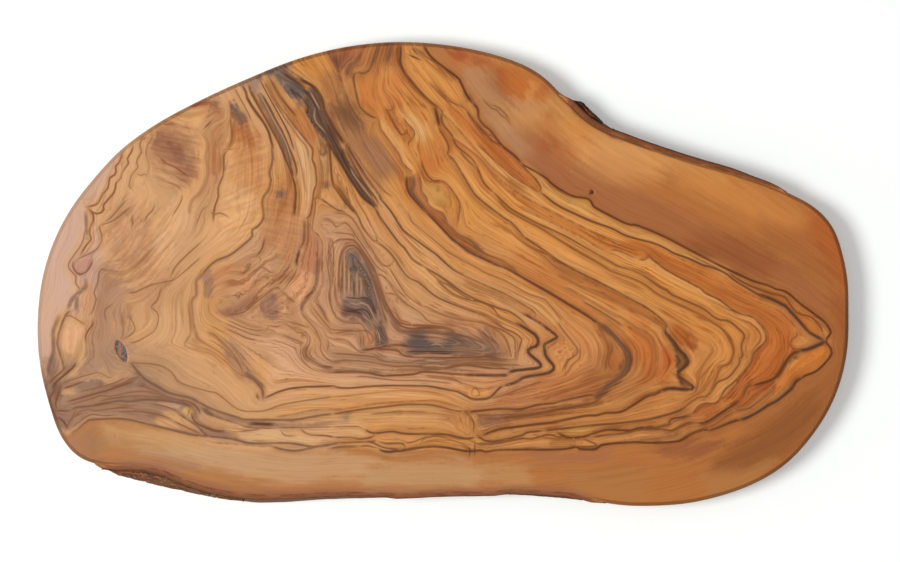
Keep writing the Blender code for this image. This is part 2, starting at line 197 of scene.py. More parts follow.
# The growth lines: a pen, the shades on its left and right if it has any, then x, y, x, y and so on
GROWTH_LINES = (
    # From the top right round the right end: the heartwood's edge and the rings inside it
    ("seam", "shy", "tan", -12.5, 141, -6, 132.4, 8.4, 121.4, 10.6, 118.5, 15, 109.5, 18.5, 104.6),
    ("plum", "tan", "rust", 17.5, 106, 20, 103.5, 21.6, 100.8, 21.8, 97, 23.2, 94, 25.7, 91.1, 29.3, 88.2,
     36, 79.5, 44, 73, 48.5, 67.8),
    ("seam", "shy", "tan", 46.5, 70, 48.5, 67.8, 62, 60, 67, 55.5, 73, 51.5, 80, 48, 89.5, 46.2, 92.5, 42.2,
     95, 40.3, 107, 33.8, 112, 31.4, 116, 30.2, 120, 29.8, 135.2, 23.4, 155.3, 13, 174.5, 3.3, 182.5, -0.5,
     191.4, -4.3, 200.4, -7.1, 204.8, -9.2, 209.3, -10.3, 213.3, -12.3, 220.9, -19, 234.3, -28.8, 238.3,
     -34.2, 238.8, -36.4, 236.3, -39.8, 236, -41.8, 238.8, -45.8, 239.2, -48, 238.3, -51.2, 230.7, -59.2,
     222.7, -62.8, 216.9, -66.8, 214.6, -70.6),
    ("ink", "shy", "dun", 221, -63.6, 216.9, -66.8, 214.6, -70.6, 205.6, -78, 200.7, -80.5, 193.4, -85.3,
     186, -89, 182.4, -89.7),
    ("deep", "", "umber", 186, -89, 178.7, -90.8, 167.7, -95.2, 164, -96.1, 159.6, -96, 152.3, -98.9, 147,
     -102.2, 142.7, -103.3, 129.5, -104, 116.8, -103.5, 100, -104.9, 96.8, -105.8, 94.4, -107.6, 91, -108.1,
     84.2, -107.8, 82.5, -106.4, 73.3, -107.9, 48, -108.2, 34, -108.4, 26.3, -109.4, 22.8, -108.6, 14.6,
     -109.1, 0.3, -106.7, -10.7, -106.5, -29, -109.1, -33.5, -109.4, -37.4, -108.8, -40, -107.1),
    ("ring", "cream", "rust", 47, 68.4, 57, 58.5, 60.3, 53, 60.3, 50.5),
    ("dark", "cream", "", 59.6, 50.6, 70, 42.6, 80, 37.6, 90, 33.1, 104, 28, 113, 23.5, 130, 18.8, 137.9,
     15.3, 142.3, 12.7, 151.3, 9.5, 160.2, 5.5, 164.6, 4.5, 173.6, 0.6, 180.7, -4.7, 189.6, -10, 194, -12.5,
     198.6, -14.1),
    ("ink", "rust", "dun", 194, -12.5, 202, -15.4, 209.3, -19, 212, -20.9, 223.8, -34, 226.9, -36.7, 234.5,
     -40.8),
    ("ring", "umber", "rust", 176, 0.8, 184.5, -5, 199, -11, 208.5, -13.6, 212, -16, 217.5, -23.5, 226,
     -26.3, 230, -29.5, 232.6, -33, 234, -36.5),
    ("ink", "umber", "dun", 236, -40.5, 233, -42.9, 226, -45.9, 222, -46.8, 218.5, -46.6),
    ("deep", "umber", "rust", 220, -47, 213.6, -50.6, 204.4, -63.8, 190.5, -68.8),
    ("hair", "rust", "rust", 218.7, -46.4, 215.2, -45.6, 213.6, -43.6, 214.2, -41.2, 218, -37.6, 216.8,
     -34.6),
    ("ring", "rust", "cream", 120, 8.9, 124.5, 8.7, 127, 10.4, 137, 2.9, 153.9, -6.5, 158.4, -8.8, 162,
     -11.9, 170, -15.9, 180.7, -23.5, 189.6, -26.2, 193.2, -28.8, 198, -35, 199, -40.4, 197.7, -42.7, 191.4,
     -48.5, 189.2, -55.2, 179.8, -65.9, 173.6, -71.3, 168.6, -79, 161, -79.8, 157.4, -81.3, 153.7, -85.7),
    ("ring", "", "tan", 31, 50.4, 40, 41.6, 44, 38.8, 56, 32.3, 74, 24, 90, 15, 104, 7.2, 108, 5, 118, 1.9,
     124.5, -1.6, 133.4, -7.9, 137.9, -10, 141.4, -12.8, 159.3, -20.8, 166.4, -26.2, 170, -28, 174.5, -28.6,
     178, -30.2, 181.6, -33.3, 185.6, -37.8, 184, -42.7, 183.8, -46.3, 184.7, -50.3, 182.6, -52, 182.5,
     -55.2, 176.3, -63.2, 170.4, -65.9, 168.2, -67.7, 165.3, -73),
    ("band", "tan", "tan", 34, 46, 38, 41, 42, 37.8, 55, 30.8, 60, 28.2, 78, 17, 98, 5.4, 104, 1.6, 116,
     -2.6, 124.5, -6.7, 133.4, -13.2, 151.3, -21.7, 160.2, -26.2, 171.8, -33.8, 176.7, -40.9, 178.5, -45,
     179, -48, 178, -51.6, 176.3, -55, 172.7, -56.7, 170.4, -58.8, 163.8, -74, 156.7, -76.3, 147.9, -82.4),
    ("dark", "tan", "brown", 150.8, -80.5, 144.2, -84.6, 127.3, -89.3, 107.7, -92, 93.7, -93, 74.7, -95.1,
     62, -96.5),
    ("ring", "cream", "brown", 3.4, 76.5, 3, 73.8, 7.7, 68.7, 17, 52.9, 22.1, 46.6, 38, 34.3, 42, 31.8,
     50.5, 22.5),
    ("ring", "cream", "brown", 48, 25, 50.5, 22.5, 65, 12.8, 70, 9, 80, 3, 100, -7, 120, -17.7, 123.6,
     -19.5, 131.6, -25.3, 137, -30.6, 137.9, -32.4, 136, -34.6),
    ("ink", "tan", "dun", 136.4, -33.8, 137, -36, 142.3, -41.8, 145.9, -47, 148.6, -49.4, 150.6, -52.5,
     150.6, -55.6, 145, -60.5, 145.9, -63.2, 154.2, -69.9, 150.4, -71, 139.6, -70.5, 134.7, -72.1),
    ("deep", "tan", "brown", 139.6, -70.5, 134.7, -72.1, 130.3, -74.3, 125, -75.8, 110.5, -84.4, 100, -85.6,
     94.4, -87, 87.4, -87.4, 71.9, -90.5, 66.3, -91.6, 48, -93.7, 34, -95.8, 24.2, -99.3),
    ("ghost", "cream", "tan", 75, -8, 82, -11, 103, -24, 110, -27, 122, -35, 128, -38, 131, -44, 132, -52,
     131, -58),
    ("soft", "tan", "tan", 70, 0, 85, -8, 100, -14, 118, -22, 135, -32),
    ("hair", "cream", "brown", 86, -17, 92, -20, 105, -28, 111, -32),
    ("plum", "brown", "", -12, 40, 2.9, 24.4, 6.2, 21.1, 14, 15.3, 18.5, 12.5, 32, 6, 40, 2.9, 56, -6.2, 72,
     -15.5, 87, -24.5, 96, -30.8),
    ("hair", "tan", "tan", 3, 30.8, 10.1, 23.7, 14, 22.4, 18.5, 19.5, 26, 12.6, 36, 8.5, 45, 2.4),
    ("smoke", "dun", "umber", 96, -31, 100, -33, 104, -37, 110, -44, 113, -48, 114, -52, 113, -57, 111, -61,
     98, -72, 93, -75),
    ("soft", "brown", "brown", 95, -31, 102, -45, 101, -55, 100, -58),
    ("hair", "brown", "brown", 103, -41, 104.3, -45, 104, -48, 102.3, -50.5, 102, -56, 104.8, -59.2),
    ("dark", "", "brown", 103, -71.5, 100, -73.2, 94.4, -74.9, 88.8, -74.9, 72, -78.4, 68.4, -79.6, 57.9,
     -80.7, 48, -83.2, 34, -83.2, 20, -84.6, 14, -84.8),
    ("soft", "brown", "tan", 107, -62, 96, -64, 82, -70, 65, -76, 61, -78),
    ("ring", "brown", "umber", 98, -76, 90, -80, 69, -83.6, 54, -86.5, 36, -88.5),
    ("hair", "brown", "", 70, -84.5, 50, -88.2, 42, -90),
    ("hair", "tan", "", 60, -66, 40, -73.5, 30, -77),
    ("hair", "cream", "cream", -22, 38.5, -19.2, 32.8, -16, 29.6, -0.3, 16.6, 3.6, 13.3, 21.1, 3.6, 25.7, 1,
     40, -5, 51, -11.5, 61, -15, 64, -17, 73.5, -29),
    ("hair", 70.6, -29, 73.5, -34, 82.5, -45.5, 83, -48, 82, -49.8, 77.5, -53, 74.5, -60.5),
    ("scar", 77.6, -46.8, 79, -47),
    ("dark", "brown", "brown", 123.9, -94.3, 131, -94.5, 136, -93.4, 139.4, -92.3, 140.6, -89.3, 153,
     -87.4),
    ("deep", "tan", "brown", 131, -94.5, 126, -94.4, 119.6, -95.1, 115.4, -96.4, 100, -96.1, 85.3, -100.4,
     76, -100.4, 70.5, -97.5),
    ("ring", "umber", "tan", 155.2, -91.5, 150, -92, 141.3, -96.3, 134.7, -95.6, 120, -96, 114, -97.6, 99,
     -99.4, 92, -100.4),
    ("deep", "rust", "umber", 157, -91.7, 160.4, -91.8, 167.7, -87.9, 183, -77.4),
    ("ring", 183, -77.4, 184.8, -75.4, 187.5, -69.5, 191, -68.4),
    ("hair", "umber", "umber", 179, -83.6, 186, -83.2, 191, -81, 203, -72, 205, -69),
    ("ghost", "umber", "brown", 160, -94, 175, -85, 179, -84),
    ("band", 164, -96.1, 161.5, -93.9, 160.4, -91.8),
    ("hair", "cream", "rust", 171, -76.6, 175, -74.6, 180.5, -67.6, 181.5, -64),
    ("hair", 172.6, -81, 176.4, -80.4, 180.4, -77.2),
    ("ghost", 80, -101, 82, -106),
    ("ring", 82.6, -106, 88, -106.4, 94.6, -105.2, 86, -101.4),
    ("hair", 24, 108, 30, 102, 33, 101, 36, 97.5, 39, 95.6, 42, 91.4),
    ("hair", 30, 104, 34, 102.6, 38, 99, 41, 95),
    # The middle: from the top, past the knotty heart, to the lower edge
    ("hair", "", "tan", -17.5, 141, -14.6, 136.6, -0.9, 127.5, 8.4, 118.5),
    ("scar", -20, 140.5, -15.4, 134.6),
    ("scar", -22, 135.4, -13, 131.4),
    ("scar", -15.6, 138.6, -10.6, 134.8),
    ("hair", "tan", "", -8.9, 118.5, 1.2, 107.7, 13.5, 101.7, 22.8, 89.6, 28.5, 85.2),
    ("dark", "", "tan", 14.6, 100.8, 17, 96.9, 22.8, 89.6, 25.7, 86.8, 28.5, 85.2, 31, 86),
    ("deep", "tan", "brown", -26.6, 141.6, -26, 138, -26.2, 130, -23.3, 123.2, -21.1, 120.3),
    ("plum", "", "brown", -23.3, 123.2, -15.4, 113.4, -8.9, 107, -2.4, 101.9),
    ("ink", "rust", "dun", -5, 103.4, -2.2, 90.4),
    ("ring", "rust", "rust", -2.4, 91, -2, 88.9, 2.7, 81, 3.5, 76.7, 3, 73.8),
    ("ring", "", "tan", -2.8, 102.2, -0.6, 99.9, -1, 96, 0.1, 92, 5.5, 85.3, 8.4, 79, 17.8, 70.9, 21.8, 65),
    ("ring", "", "rust", 20.4, 67.6, 25, 56.5, 31, 50.2),
    ("ring", "cream", "", 10.6, 75.6, 13.6, 71.6, 20, 65.4),
    ("ring", "tan", "rust", 20, 93, 24, 88, 30, 82.5, 36, 78.5),
    ("hair", "rust", "cream", 20, 80.4, 33, 69, 43, 60.2, 57, 51.4, 60, 49.4),
    ("ghost", 2, 107, 6, 102, 12, 97, 22, 85, 34, 73, 46, 62),
    ("ghost", "cream", "tan", -1, 99, 4, 95, 20, 77, 26, 70, 32, 64, 44, 55, 56, 47),
    ("ghost", "cream", "rust", 6, 84, 17, 76, 23, 71, 33, 60, 46, 50, 62, 41, 78, 33, 94, 25, 102, 21, 110,
     17),
    ("hair", "rust", "cream", 103, 14.2, 108, 14.4, 120, 8.9),
    ("ghost", "rust", "cream", 46, 41, 62, 34, 70, 30, 86, 22, 94, 17, 101, 14),
    ("scar", 127, 11.2, 127.6, 9.4),
    ("scar", 125.6, 10.2, 126.2, 8.6),
    ("scar", 67.6, 9.6, 68.4, 7.8),
    ("ring", "", "umber", -53.6, 123.9, -55, 120.7, -52.1, 105.5, -50, 101.9, -46.4, 98.5, -42.8, 96.6,
     -39.5, 95.9),
    ("hair", "cream", "brown", -39.6, 97, -38.8, 91.1, -37, 87.5, -27.6, 74.5, -25.5, 69.5, -23.3, 66.6,
     -18.3, 62.4),
    ("ghost", -40, 96, -45, 90),
    ("ring", "rust", "rust", -35.6, 102.6, -27.6, 88.2, -25.1, 85.8, -22.6, 86.8, -24.6, 88.6),
    ("hair", "", "rust", -24.7, 96.9, -21.9, 92.5, -19, 89.6, -17.5, 86, -21, 80),
    ("hair", -31, 106.6, -30.4, 103, -33, 100.4, -35.8, 103),
    ("ghost", -36, 121, -37, 116, -36, 112, -33, 109, -30, 104, -30, 99, -27, 94),
    ("ghost", -42, 124, -43, 112, -41, 106),
    ("ring", "umber", "tan", -53.6, 124, -46, 125, -38.6, 141.6),
    ("smoke", "umber", "brown", -44, 128, -39, 141),
    ("smoke", "brown", "brown", -35, 130, -31, 141),
    ("ring", "brown", "brown", -27.6, 141.6, -28.2, 136.6, -27.8, 131, -26.4, 127),
    ("hair", "cream", "brown", -14, 60.6, -13.2, 51.4, -10.3, 47.1, -8.9, 42.4, -4.6, 39.4, -0.2, 37.6, 3.4,
     31),
    ("smoke", -19, 61, -18, 55, -19, 50, -10, 38),
    ("plum", "brown", "rust", -22.6, 60.6, -21.1, 50.4, -10.3, 38),
    ("hair", "cream", "rust", -6, 57.8, -1, 57.4, 3.4, 54.4, 9.2, 46, 10.4, 41, 9, 30.6),
    ("ring", "", "rust", -13.2, 70.4, -12.5, 66.6, -10.3, 62, -7.6, 58.6, -4, 57.2, -1, 57.6),
    ("ghost", -4, 74, -3, 69, -2, 65),
    ("ghost", 3, 52, 4, 48, 5, 43, 3, 39),
    ("plum", "brown", "", -60.4, 80.4, -50, 64, -47, 59, -37, 45.4),
    ("hair", -56, 77, -48.4, 65.4, -44.4, 60, -36, 51, -31, 47.6),
    ("dark", "cream", "milk", -40, 49.4, -39.2, 47.1, -32.9, 39.6, -26.4, 29.6, -22.5, 25.2, -8.1, 14.8,
     -4.2, 12.1, 3.6, 4.9, 8.1, 1.6, 17.2, -3.2),
    ("hair", "milk", "tan", 12.7, -1, 30, -8.6, 40, -13.2, 55, -22, 57, -24.6),
    ("ink", -71.6, 81.4, -68, 76.6, -58.4, 61, -51.6, 50.4, -48, 46, -40.6, 40.8),
    ("pale", -57, 65, -53.6, 59, -43, 45.4),
    ("dark", "milk", "", -60.6, 78, -51.6, 61.4, -48.4, 56, -41.4, 46.6, -39.6, 43),
    ("hair", -58.6, 77.4, -49.4, 61.4, -42, 51.6),
    ("dark", "milk", "", -41.6, 41.3, -39.4, 36.3, -36.8, 32.2, -27.7, 19.8, -23.8, 16, -18.6, 8.9, -11.4,
     4.2),
    ("ring", "milk", "", -12.4, 4.8, 0, -2.6, 14, -12.5, 33, -20.6, 41, -23.3, 48, -28, 52.3, -32.3),
    ("hair", -11, 3.4, -1, -4.9, 3, -6.6, 12, -12.9, 18, -15.9),
    ("ring", "cream", "", -4, -3, -1.6, -6, 6, -12, 14, -15.4, 24.2, -17.6, 30.5, -21, 35.4, -26.3, 48,
     -31.8),
    ("ink", "shy", "shy", 43.9, -30, 48, -31.8, 54.4, -35.8, 56.7, -37.5, 58.2, -39.6, 58.6, -42, 57.2,
     -44.6, 54.4, -45.2, 52.3, -46.7, 52.4, -48.4, 60.2, -56.9, 45.3, -59.4, 41.2, -60.6, 40, -62),
    ("plum", "brown", "milk", 49, -24, 60.7, -31, 66, -35.9),
    ("ink", "", "shy", 60.7, -31, 69, -37.2, 70.4, -38.8, 62.8, -43.2, 62.4, -46, 62.7, -49, 63.8, -51.5,
     68.2, -56.8, 68.1, -58.9, 66, -60.4, 62, -61.6, 52, -63.2, 48, -64.6, 45, -66.5, 37, -68.9),
    ("dark", "milk", "", 41, -67.9, 37, -68.9, 34, -71, 29, -76, 25, -77, 19.8, -77.1, 17.2, -76.6, 10.7,
     -73.3, 6.8, -72, -9.4, -69.2, -29, -68.7, -42, -69, -59.5, -70.3, -68, -69.4),
    ("hair", 65.6, -44.6, 70.4, -41.6),
    ("ring", -42, 24, -40.5, 20.6, -42.4, 20, -49.1, 28.3, -53, 36.7, -62, 49.4, -65.6, 54.6),
    ("ring", -42, 19.8, -38.1, 17.9, -31.6, 12, -22.5, -1, -14.6, -5.5, -2.9, -14.7, 16.6, -22.5, 27, -26.4,
     37.5, -33.4, 43.2, -35.8, 46.7, -38.2, 48.4, -40, 46.3, -48.4),
    ("hair", -42.6, 0.3, -35.5, -2.3, -26.4, -15.3, -14, -23.8, -8.1, -29.4, 6.8, -32.2, 17.2, -36.8, 25.7,
     -42),
    ("hair", -32.9, 3.6, -25.1, -9.4, -21.2, -14, -14, -19.2, -9.4, -20.5, 1, -25.5, 17.2, -29, 23.1, -29.9,
     32.6, -33, 37.5, -35, 41.8, -37.9, 44.2, -40.7, 44.6, -52.6),
    ("ghost", -9, -22, 9, -28, 14, -29),
    ("hair", -36, -11.8, -31, -12.2, -28.6, -13.6),
    ("hair", -17.9, -14.7, -12, -20),
    ("hair", -45.9, 18.5, -39.4, 7.5, -36.1, 4.9, -32.9, 5.2, -30.9, 7.5),
    ("hair", -34.6, -3, -28.6, -9.8, -22, -15),
    ("hair", 20, -29.2, 28.4, -31.6, 38.2, -39.3, 42.5, -52),
    ("hair", 20, -24.2, 24.2, -24.6, 37, -31.6),
    ("hair", 29.6, -33, 33, -39.6),
    ("dark", "shy", "", -68, -60.3, -48.5, -60.6, -40, -62.2, -34.2, -62.6, -19.9, -61.9, -10.7, -60.3, 6.2,
     -61.6, 12.7, -62, 19.8, -62),
    ("ink", "umber", "tan", 12.7, -62, 34, -62.4, 40.4, -62.2),
    ("smoke", "milk", "", -66, -58, -48, -60, -37, -60),
    ("hair", -54, -63.4, -48, -63.2, -30, -65.4, -12, -65.6, 6, -67.4),
    ("hair", -12, -62.6, 4, -64, 8, -65.4, 12, -68),
    ("hair", 17.6, -74, 18.4, -70.8, 20, -70, 21.6, -71.6, 22.4, -74.6, 20, -75.6, 18, -74.6),
    ("ring", "cream", "", -68, -86.3, -52.4, -83.7, -46.5, -82.9, -23.8, -80.5, -19.9, -80.3, -6.2, -80.8,
     7.5, -84.2, 16, -84.6),
    ("ghost", "cream", "tan", -68, -84, -53, -82, -42, -80, -32, -79, -12, -78, -4, -78, 10, -82),
    ("hair", -22.5, -84.6, -9.4, -85.1),
    ("hair", -45, -86.4, -30, -85, -24, -84.8),
    ("ghost", "cream", "cream", -68, -76, -50, -74, -40, -73, -30, -72, -20, -72, -2, -74, 9, -78),
    ("dark", "tan", "", -48.5, -95.7, -42.6, -98, -31.6, -97, -22.5, -98.4, -2.9, -98.7, 3.6, -99, 12,
     -101.1, 16.6, -101.3, 19.6, -100.4),
    ("hair", "milk", "", -68, -94.1, -55, -93.8, -51.7, -94.1, -48.5, -95.7),
    ("ring", -68, -100.6, -56.3, -100.7, -51.1, -101.5, -43.2, -100.2, -41.6, -98.6),
    ("ring", "", "milk", -48.5, -103.2, -43.9, -103.7, -36.8, -106.8, -25.7, -108.2),
    ("ring", -39.4, -102.9, -35.5, -104.3, -26.4, -104.2, -23.8, -105.4, -23, -107.6),
    ("ring", -68, -104, -46, -103.2, -41, -102.6),
    ("ring", -51.7, -106.5, -47, -105.8, -40, -107.1),
    ("hair", -14, -104, -12, -101.8, -9, -100.6, -2, -100.3, 13, -104.8, 15.4, -106.8),
    ("hair", -25, -103.6, -21, -104, -17.6, -103.2, -10, -100),
    ("dark", "umber", "", 20, -98.8, 25.6, -102.5, 29.8, -103, 34, -102.6, 48.8, -99.3, 51.6, -97.7, 62,
     -96.5),
    ("ring", "", "tan", 20, -104.2, 29.8, -104.4, 48, -101.4, 55, -101.4, 63.5, -99, 67.7, -99.3, 70.5,
     -100.5, 76, -100.4),
    ("hair", 55, -98.8, 64, -101, 70, -101.4),
    ("ghost", 10, -87, 10, -94),
    ("ghost", 13, -86, 14, -90, 14, -95),
    ("soft", 16, -84, 17, -89, 16, -95),
    ("ring", 12, -84.4, 17, -88, 19, -92, 18.6, -98),
    ("scar", 16, -106, 16.6, -109, 16, -113),
    ("scar", 19.6, -103, 19.6, -112),
    # The tight grain round the heart
    ("smoke", -53, 18, -50, 14, -43, 3, -37, -16, -34, -22, -29, -31, -26, -35, -20, -36),
    ("ring", -68, 17.9, -65.4, 20.6, -61.5, 21.4, -56.3, 21.1, -53, 19, -43.3, 4.2, -36, -15, -33.4, -21,
     -27.6, -30.4, -23, -33, -18, -33.6, -10, -33, 0, -33.4, 8, -35.4),
    ("hair", -64.1, 30.2, -60.2, 31.6, -58.2, 30.2, -48.5, 16, -42, 6.4, -38.7, 2.9, -35.5, 1, -33.6, -2),
    ("hair", -68, 38, -58.2, 36.1, -52.4, 28.9, -44.4, 14.4),
    ("hair", -68, 25.6, -57, 24.4, -53.4, 21),
    ("ring", -34.8, -20.5, -27.7, -29, -19.9, -31.4, -6, -31.8, 2, -33, 9, -35.6),
    ("hair", -32.2, -21.8, -28.3, -25, -26.4, -28.3, -21, -29.8, -19, -31.6),
    ("hair", -32.9, -28.3, -30.3, -32.2, -26.4, -35.5, -14, -34.8),
    ("hair", -68, -37.4, -61.5, -35.5, -48.5, -34.8, -45, -36.4, -43, -40, -44.6, -43, -47, -42),
    ("hair", -68, -39.4, -59.5, -40.9, -51.7, -47.8, -47, -48),
    ("hair", -50.8, -36.8, -50.6, -45.6),
    ("hair", -49, -36.8, -48.8, -45.6),
    ("hair", -46.5, -38.7, -44.8, -41.2, -46.4, -42.4),
    ("ring", -42, -46, -29, -47, -25, -49.6, -20, -51, -4, -51, 4, -51.6, 20, -51.4, 28, -50.6, 36, -51.8),
    ("hair", -68, -48.5, -48.5, -50.4, -42, -51.1, -37, -53.5, -22, -54.6, -14, -53.4, -6, -54.4, 10, -53.2,
     30, -53, 40, -53.6),
    ("hair", -68, -53.4, -50, -53.6, -36, -56, -28, -57, -20, -56.6, -2, -57.6, 14, -55.4, 30, -56.4, 38,
     -57.4),
    ("hair", -44, -48.6, -36.6, -52.6),
    ("hair", -41.6, -47.8, -34.6, -52),
    ("ring", 0, -58.6, 4, -57.4, 15, -56.2, 28, -58, 42, -58.4),
    ("hair", -30, -58.8, -10, -59, 0, -58.8),
    ("hair", 8, -52.4, 14, -51.4, 26, -52.6, 34, -52, 42, -53),
    ("hair", 14, -54.4, 22, -54.2, 38, -55.6, 48, -56.2),
    ("scar", -22, -47.6, -6, -47.8, 2, -47.6),
    ("scar", -20, -49.2, -3, -49, 6, -49.4),
    ("pale", -7.2, -44, -4.4, -43, -1.6, -43.6, 0.2, -45),
    ("pale", -4.6, -42, -2, -41.6, -0.4, -42.6),
    ("pale", -2.6, -40.4, -0.6, -40.8),
    ("pale", -10, -53.2, 0, -53.4),
    ("pale", 24, -33, 29.6, -40),
    ("hair", 20.6, -33.4, 32, -41.4, 35, -46),
    ("hair", 22, -36.6, 30, -43.4, 32, -47.6),
    ("dusk", -64.2, -10, -64, 2, -63.2, 10, -61.5, 14.4, -58.6, 17.2, -55, 17.6, -52.2, 15.4, -49.5, 11.2,
     -44.2, 0, -37.8, -20, -34.4, -31),
    ("hair", -63, -10.5, -61.9, 9, -60.2, 13, -57.6, 15.5, -55, 15.9, -50.4, 10),
    ("hair", -62.2, 16, -59.4, 18.8, -55.6, 19.4, -52.4, 17.4, -43.4, 1.4, -37, -18, -34.8, -24),
    ("hair", -61.4, 10, -61.6, -6, -61.8, -12),
    ("pale", -61, 12, -60.8, -6, -61, -12.6),
    ("hair", -59, 10, -59, -4, -59.3, -12),
    ("pale", -58, 2, -58, -11),
    ("hair", -56.8, 2, -57, -12),
    ("scar", -55, -4, -54.6, -14.4),
    ("pale", -53, 1.4, -52.8, -13.6),
    ("hair", -51.4, -4, -51.2, -14),
    ("pale", -50.6, -3, -50.6, -14),
    ("dusk", -52, 1, -49.6, -3.4, -46.8, -14),
    ("scar", -60.4, -14.2, -53, -15, -49, -14.4, -46, -15.4, -43.6, -18, -40.6, -26),
    ("scar", -46, -17.6, -43.6, -20.6, -42, -25),
    ("pale", -54, -18.6, -50, -17.9, -47, -18.6, -44.8, -21, -42, -28),
    ("pale", -58, -17.6, -51.6, -19.4),
    ("scar", -59.4, -20.4, -55, -22.4, -51, -21.8, -47.4, -22.4, -45, -25.4, -43.6, -29),
    ("hair", -51.4, -24.6, -47, -29.2),
    ("pale", -50.2, -24.4, -45.8, -29),
    ("hair", -56.4, -27.6, -54.6, -25.4, -51.4, -24.8),
    ("dusk", -43.4, -30, -41.6, -33.6, -41.4, -44),
    ("pale", -41.2, -34.4, -39.4, -37.6, -38.8, -43.6),
    ("dusk", -38.4, -30.6, -36, -35, -33.6, -44),
    ("dark", "", "shy", -51.1, -46.5, -45.2, -46.4, -33.5, -44, -26.4, -44, -20, -45),
    ("dusk", -18, -36.4, -12, -35.6, 4, -37.4, 12, -38, 20, -40.4, 27, -43.6),
    ("pale", -18, -50.4, -2, -50.6, 6, -50.2),
    ("hair", -16, -55.2, 3, -55.4),
    ("pale", -12, -56.4, -4, -56, 0, -57, 5, -55.6),
    ("hair", -14, -52.4, -8, -52, -4, -52.8, 4, -52.2),
    ("hair", -78, 90, -74.4, 75),
    # The left: the dark branch streak and its bundle of lines, the curly wood and the grey streaks
    ("ink", "umber", "", -98.7, 124, -84.3, 114),
    ("ink", "", "umber", -89.3, 120.7, -80.7, 116, -77.8, 113.4, -75.4, 109.8, -73.9, 106.2, -73.4, 102.6,
     -72, 98.8, -66.6, 88.9, -60.6, 79.8),
    ("pale", -82, 112.6, -75.8, 101.4),
    ("pale", -79, 101, -79.4, 97.6, -78, 93.6, -72.6, 87.2),
    ("plum", "cream", "milk", -124, 116.7, -121.4, 112.2, -120.3, 108.4, -117.5, 103.4, -108.8, 90.2,
     -105.6, 81, -104.8, 76),
    ("dusk", "", "cream", -105.6, 81, -104.9, 70.9, -106.8, 62.4, -106, 58.6, -106.3, 55, -107.6, 51.4,
     -110.3, 47.8, -111.3, 44.2, -110.4, 36.3, -111.5, 32.6, -114.4, 29, -117.5, 27.2, -117.4, 24.4, -118.6,
     21.8, -130.7, 12, -140.5, 7.5, -150.2, -1.6),
    ("soft", "dove", "", -148, 1, -152, -4, -152, -7, -152, -10, -152, -13, -154, -15, -155, -17, -154, -29,
     -152, -37, -151, -40, -147, -43),
    ("soft", -157, -17, -156, -24, -155, -36),
    ("dark", "", "milk", -119.6, 116.6, -117.5, 110.4, -107.4, 92.5, -100.9, 80.2, -94.4, 64.6, -92.7, 60),
    ("dark", "", "brown", -94.4, 64.6, -92.7, 60, -90.5, 50, -91.6, 36),
    ("pale", -115.3, 115.6, -106.6, 99, -97.3, 81.7, -93.4, 71),
    ("dark", "milk", "", -111.6, 111, -101.2, 92, -98.2, 86.2, -91, 67.6, -90.1, 60),
    ("scar", -112.6, 119, -102.6, 100.8, -95.8, 88, -91.6, 76),
    ("hair", "brown", "milk", -110.3, 119, -107.4, 112.4, -100.9, 101.2, -93.7, 91.1, -91.4, 86),
    ("ring", "umber", "umber", -106.6, 120.6, -100.2, 109.1, -90, 96.6),
    ("hair", -108.6, 117, -101, 104, -89, 88),
    ("hair", -117.8, 113, -108, 94.8, -101.6, 82.8),
    ("ring", "tan", "milk", -97.3, 99.7, -93.7, 94, -82.1, 79.6, -80.2, 75.2, -80.5, 70.4, -78.7, 65.9,
     -77.9, 55.8, -79.6, 50.7, -81.6, 37.2, -85, 33.8),
    ("hair", -99.6, 99, -88.6, 83.8, -85, 79.6, -83.2, 75.6, -83, 70.8),
    ("ghost", "milk", "milk", -92, 83, -87, 65, -86, 59, -84, 49),
    ("hair", -90, 60, -88.6, 48, -89, 36),
    ("dark", "", "shy", -71.6, 82, -69.8, 76, -68.2, 57, -65.6, 51.8, -59.1, 43, -53, 36.7),
    ("smoke", -76, 84, -72, 75, -75, 74, -76, 78),
    ("ring", "milk", "", -77.6, 46.4, -75, 46.2, -66.3, 40.2, -60.5, 38.2),
    ("hair", -129, 115.6, -120.3, 99.7, -118.2, 94),
    ("hair", -131.2, 96.9, -130.2, 86, -130.8, 81, -132.6, 75.8),
    ("hair", -128.8, 95, -130, 81),
    ("soft", -149, 87, -146, 83, -145, 78, -146, 72, -145, 64, -146, 58, -150, 50, -154, 46, -156, 41, -156,
     36),
    ("soft", -140, 84, -141, 65, -140, 60),
    ("ghost", -138, 76, -137, 68, -138, 61),
    ("ring", -132.6, 75.8, -134.8, 73, -135.1, 62, -138.2, 53.6, -138.5, 47.1, -140.5, 41, -141.6, 32),
    ("hair", -135.4, 77, -133, 76.4, -128, 77.4),
    ("ghost", -132, 72, -135, 61),
    ("hair", -145.6, 42, -148.6, 38.6, -152, 30),
    ("hair", -143.6, 39, -141, 36.4, -138.2, 37.6, -134.6, 36.6, -131.6, 34.4),
    ("ghost", -136, 95, -142, 93, -146, 89),
    ("hair", -160, 103.6, -146, 105.6, -142.6, 105, -144, 101),
    ("ghost", -148, 95, -140, 100, -137, 100),
    ("scar", -148, 88.6, -142, 95),
    ("ring", -109.9, 21.8, -111.2, 16.2, -113.8, 12, -115.6, 11.4),
    ("ghost", -120, 10, -115, 11, -112, 9, -114, 5),
    ("hair", -126.4, 0, -122.6, 0.6, -119.4, 3.4, -118.8, 7.4),
    ("hair", -119, 0, -114.4, 3, -110.6, 4, -107, 1.4, -103.6, 0.4),
    ("hair", -117, -2, -114, 3),
    ("plum", "", "dove", -88, 15.8, -90, 8, -89.6, 4.8),
    ("dark", -85.2, 34, -85.6, 21, -88, 15.2),
    ("hair", -83.2, 33, -83, 22, -84.6, 17),
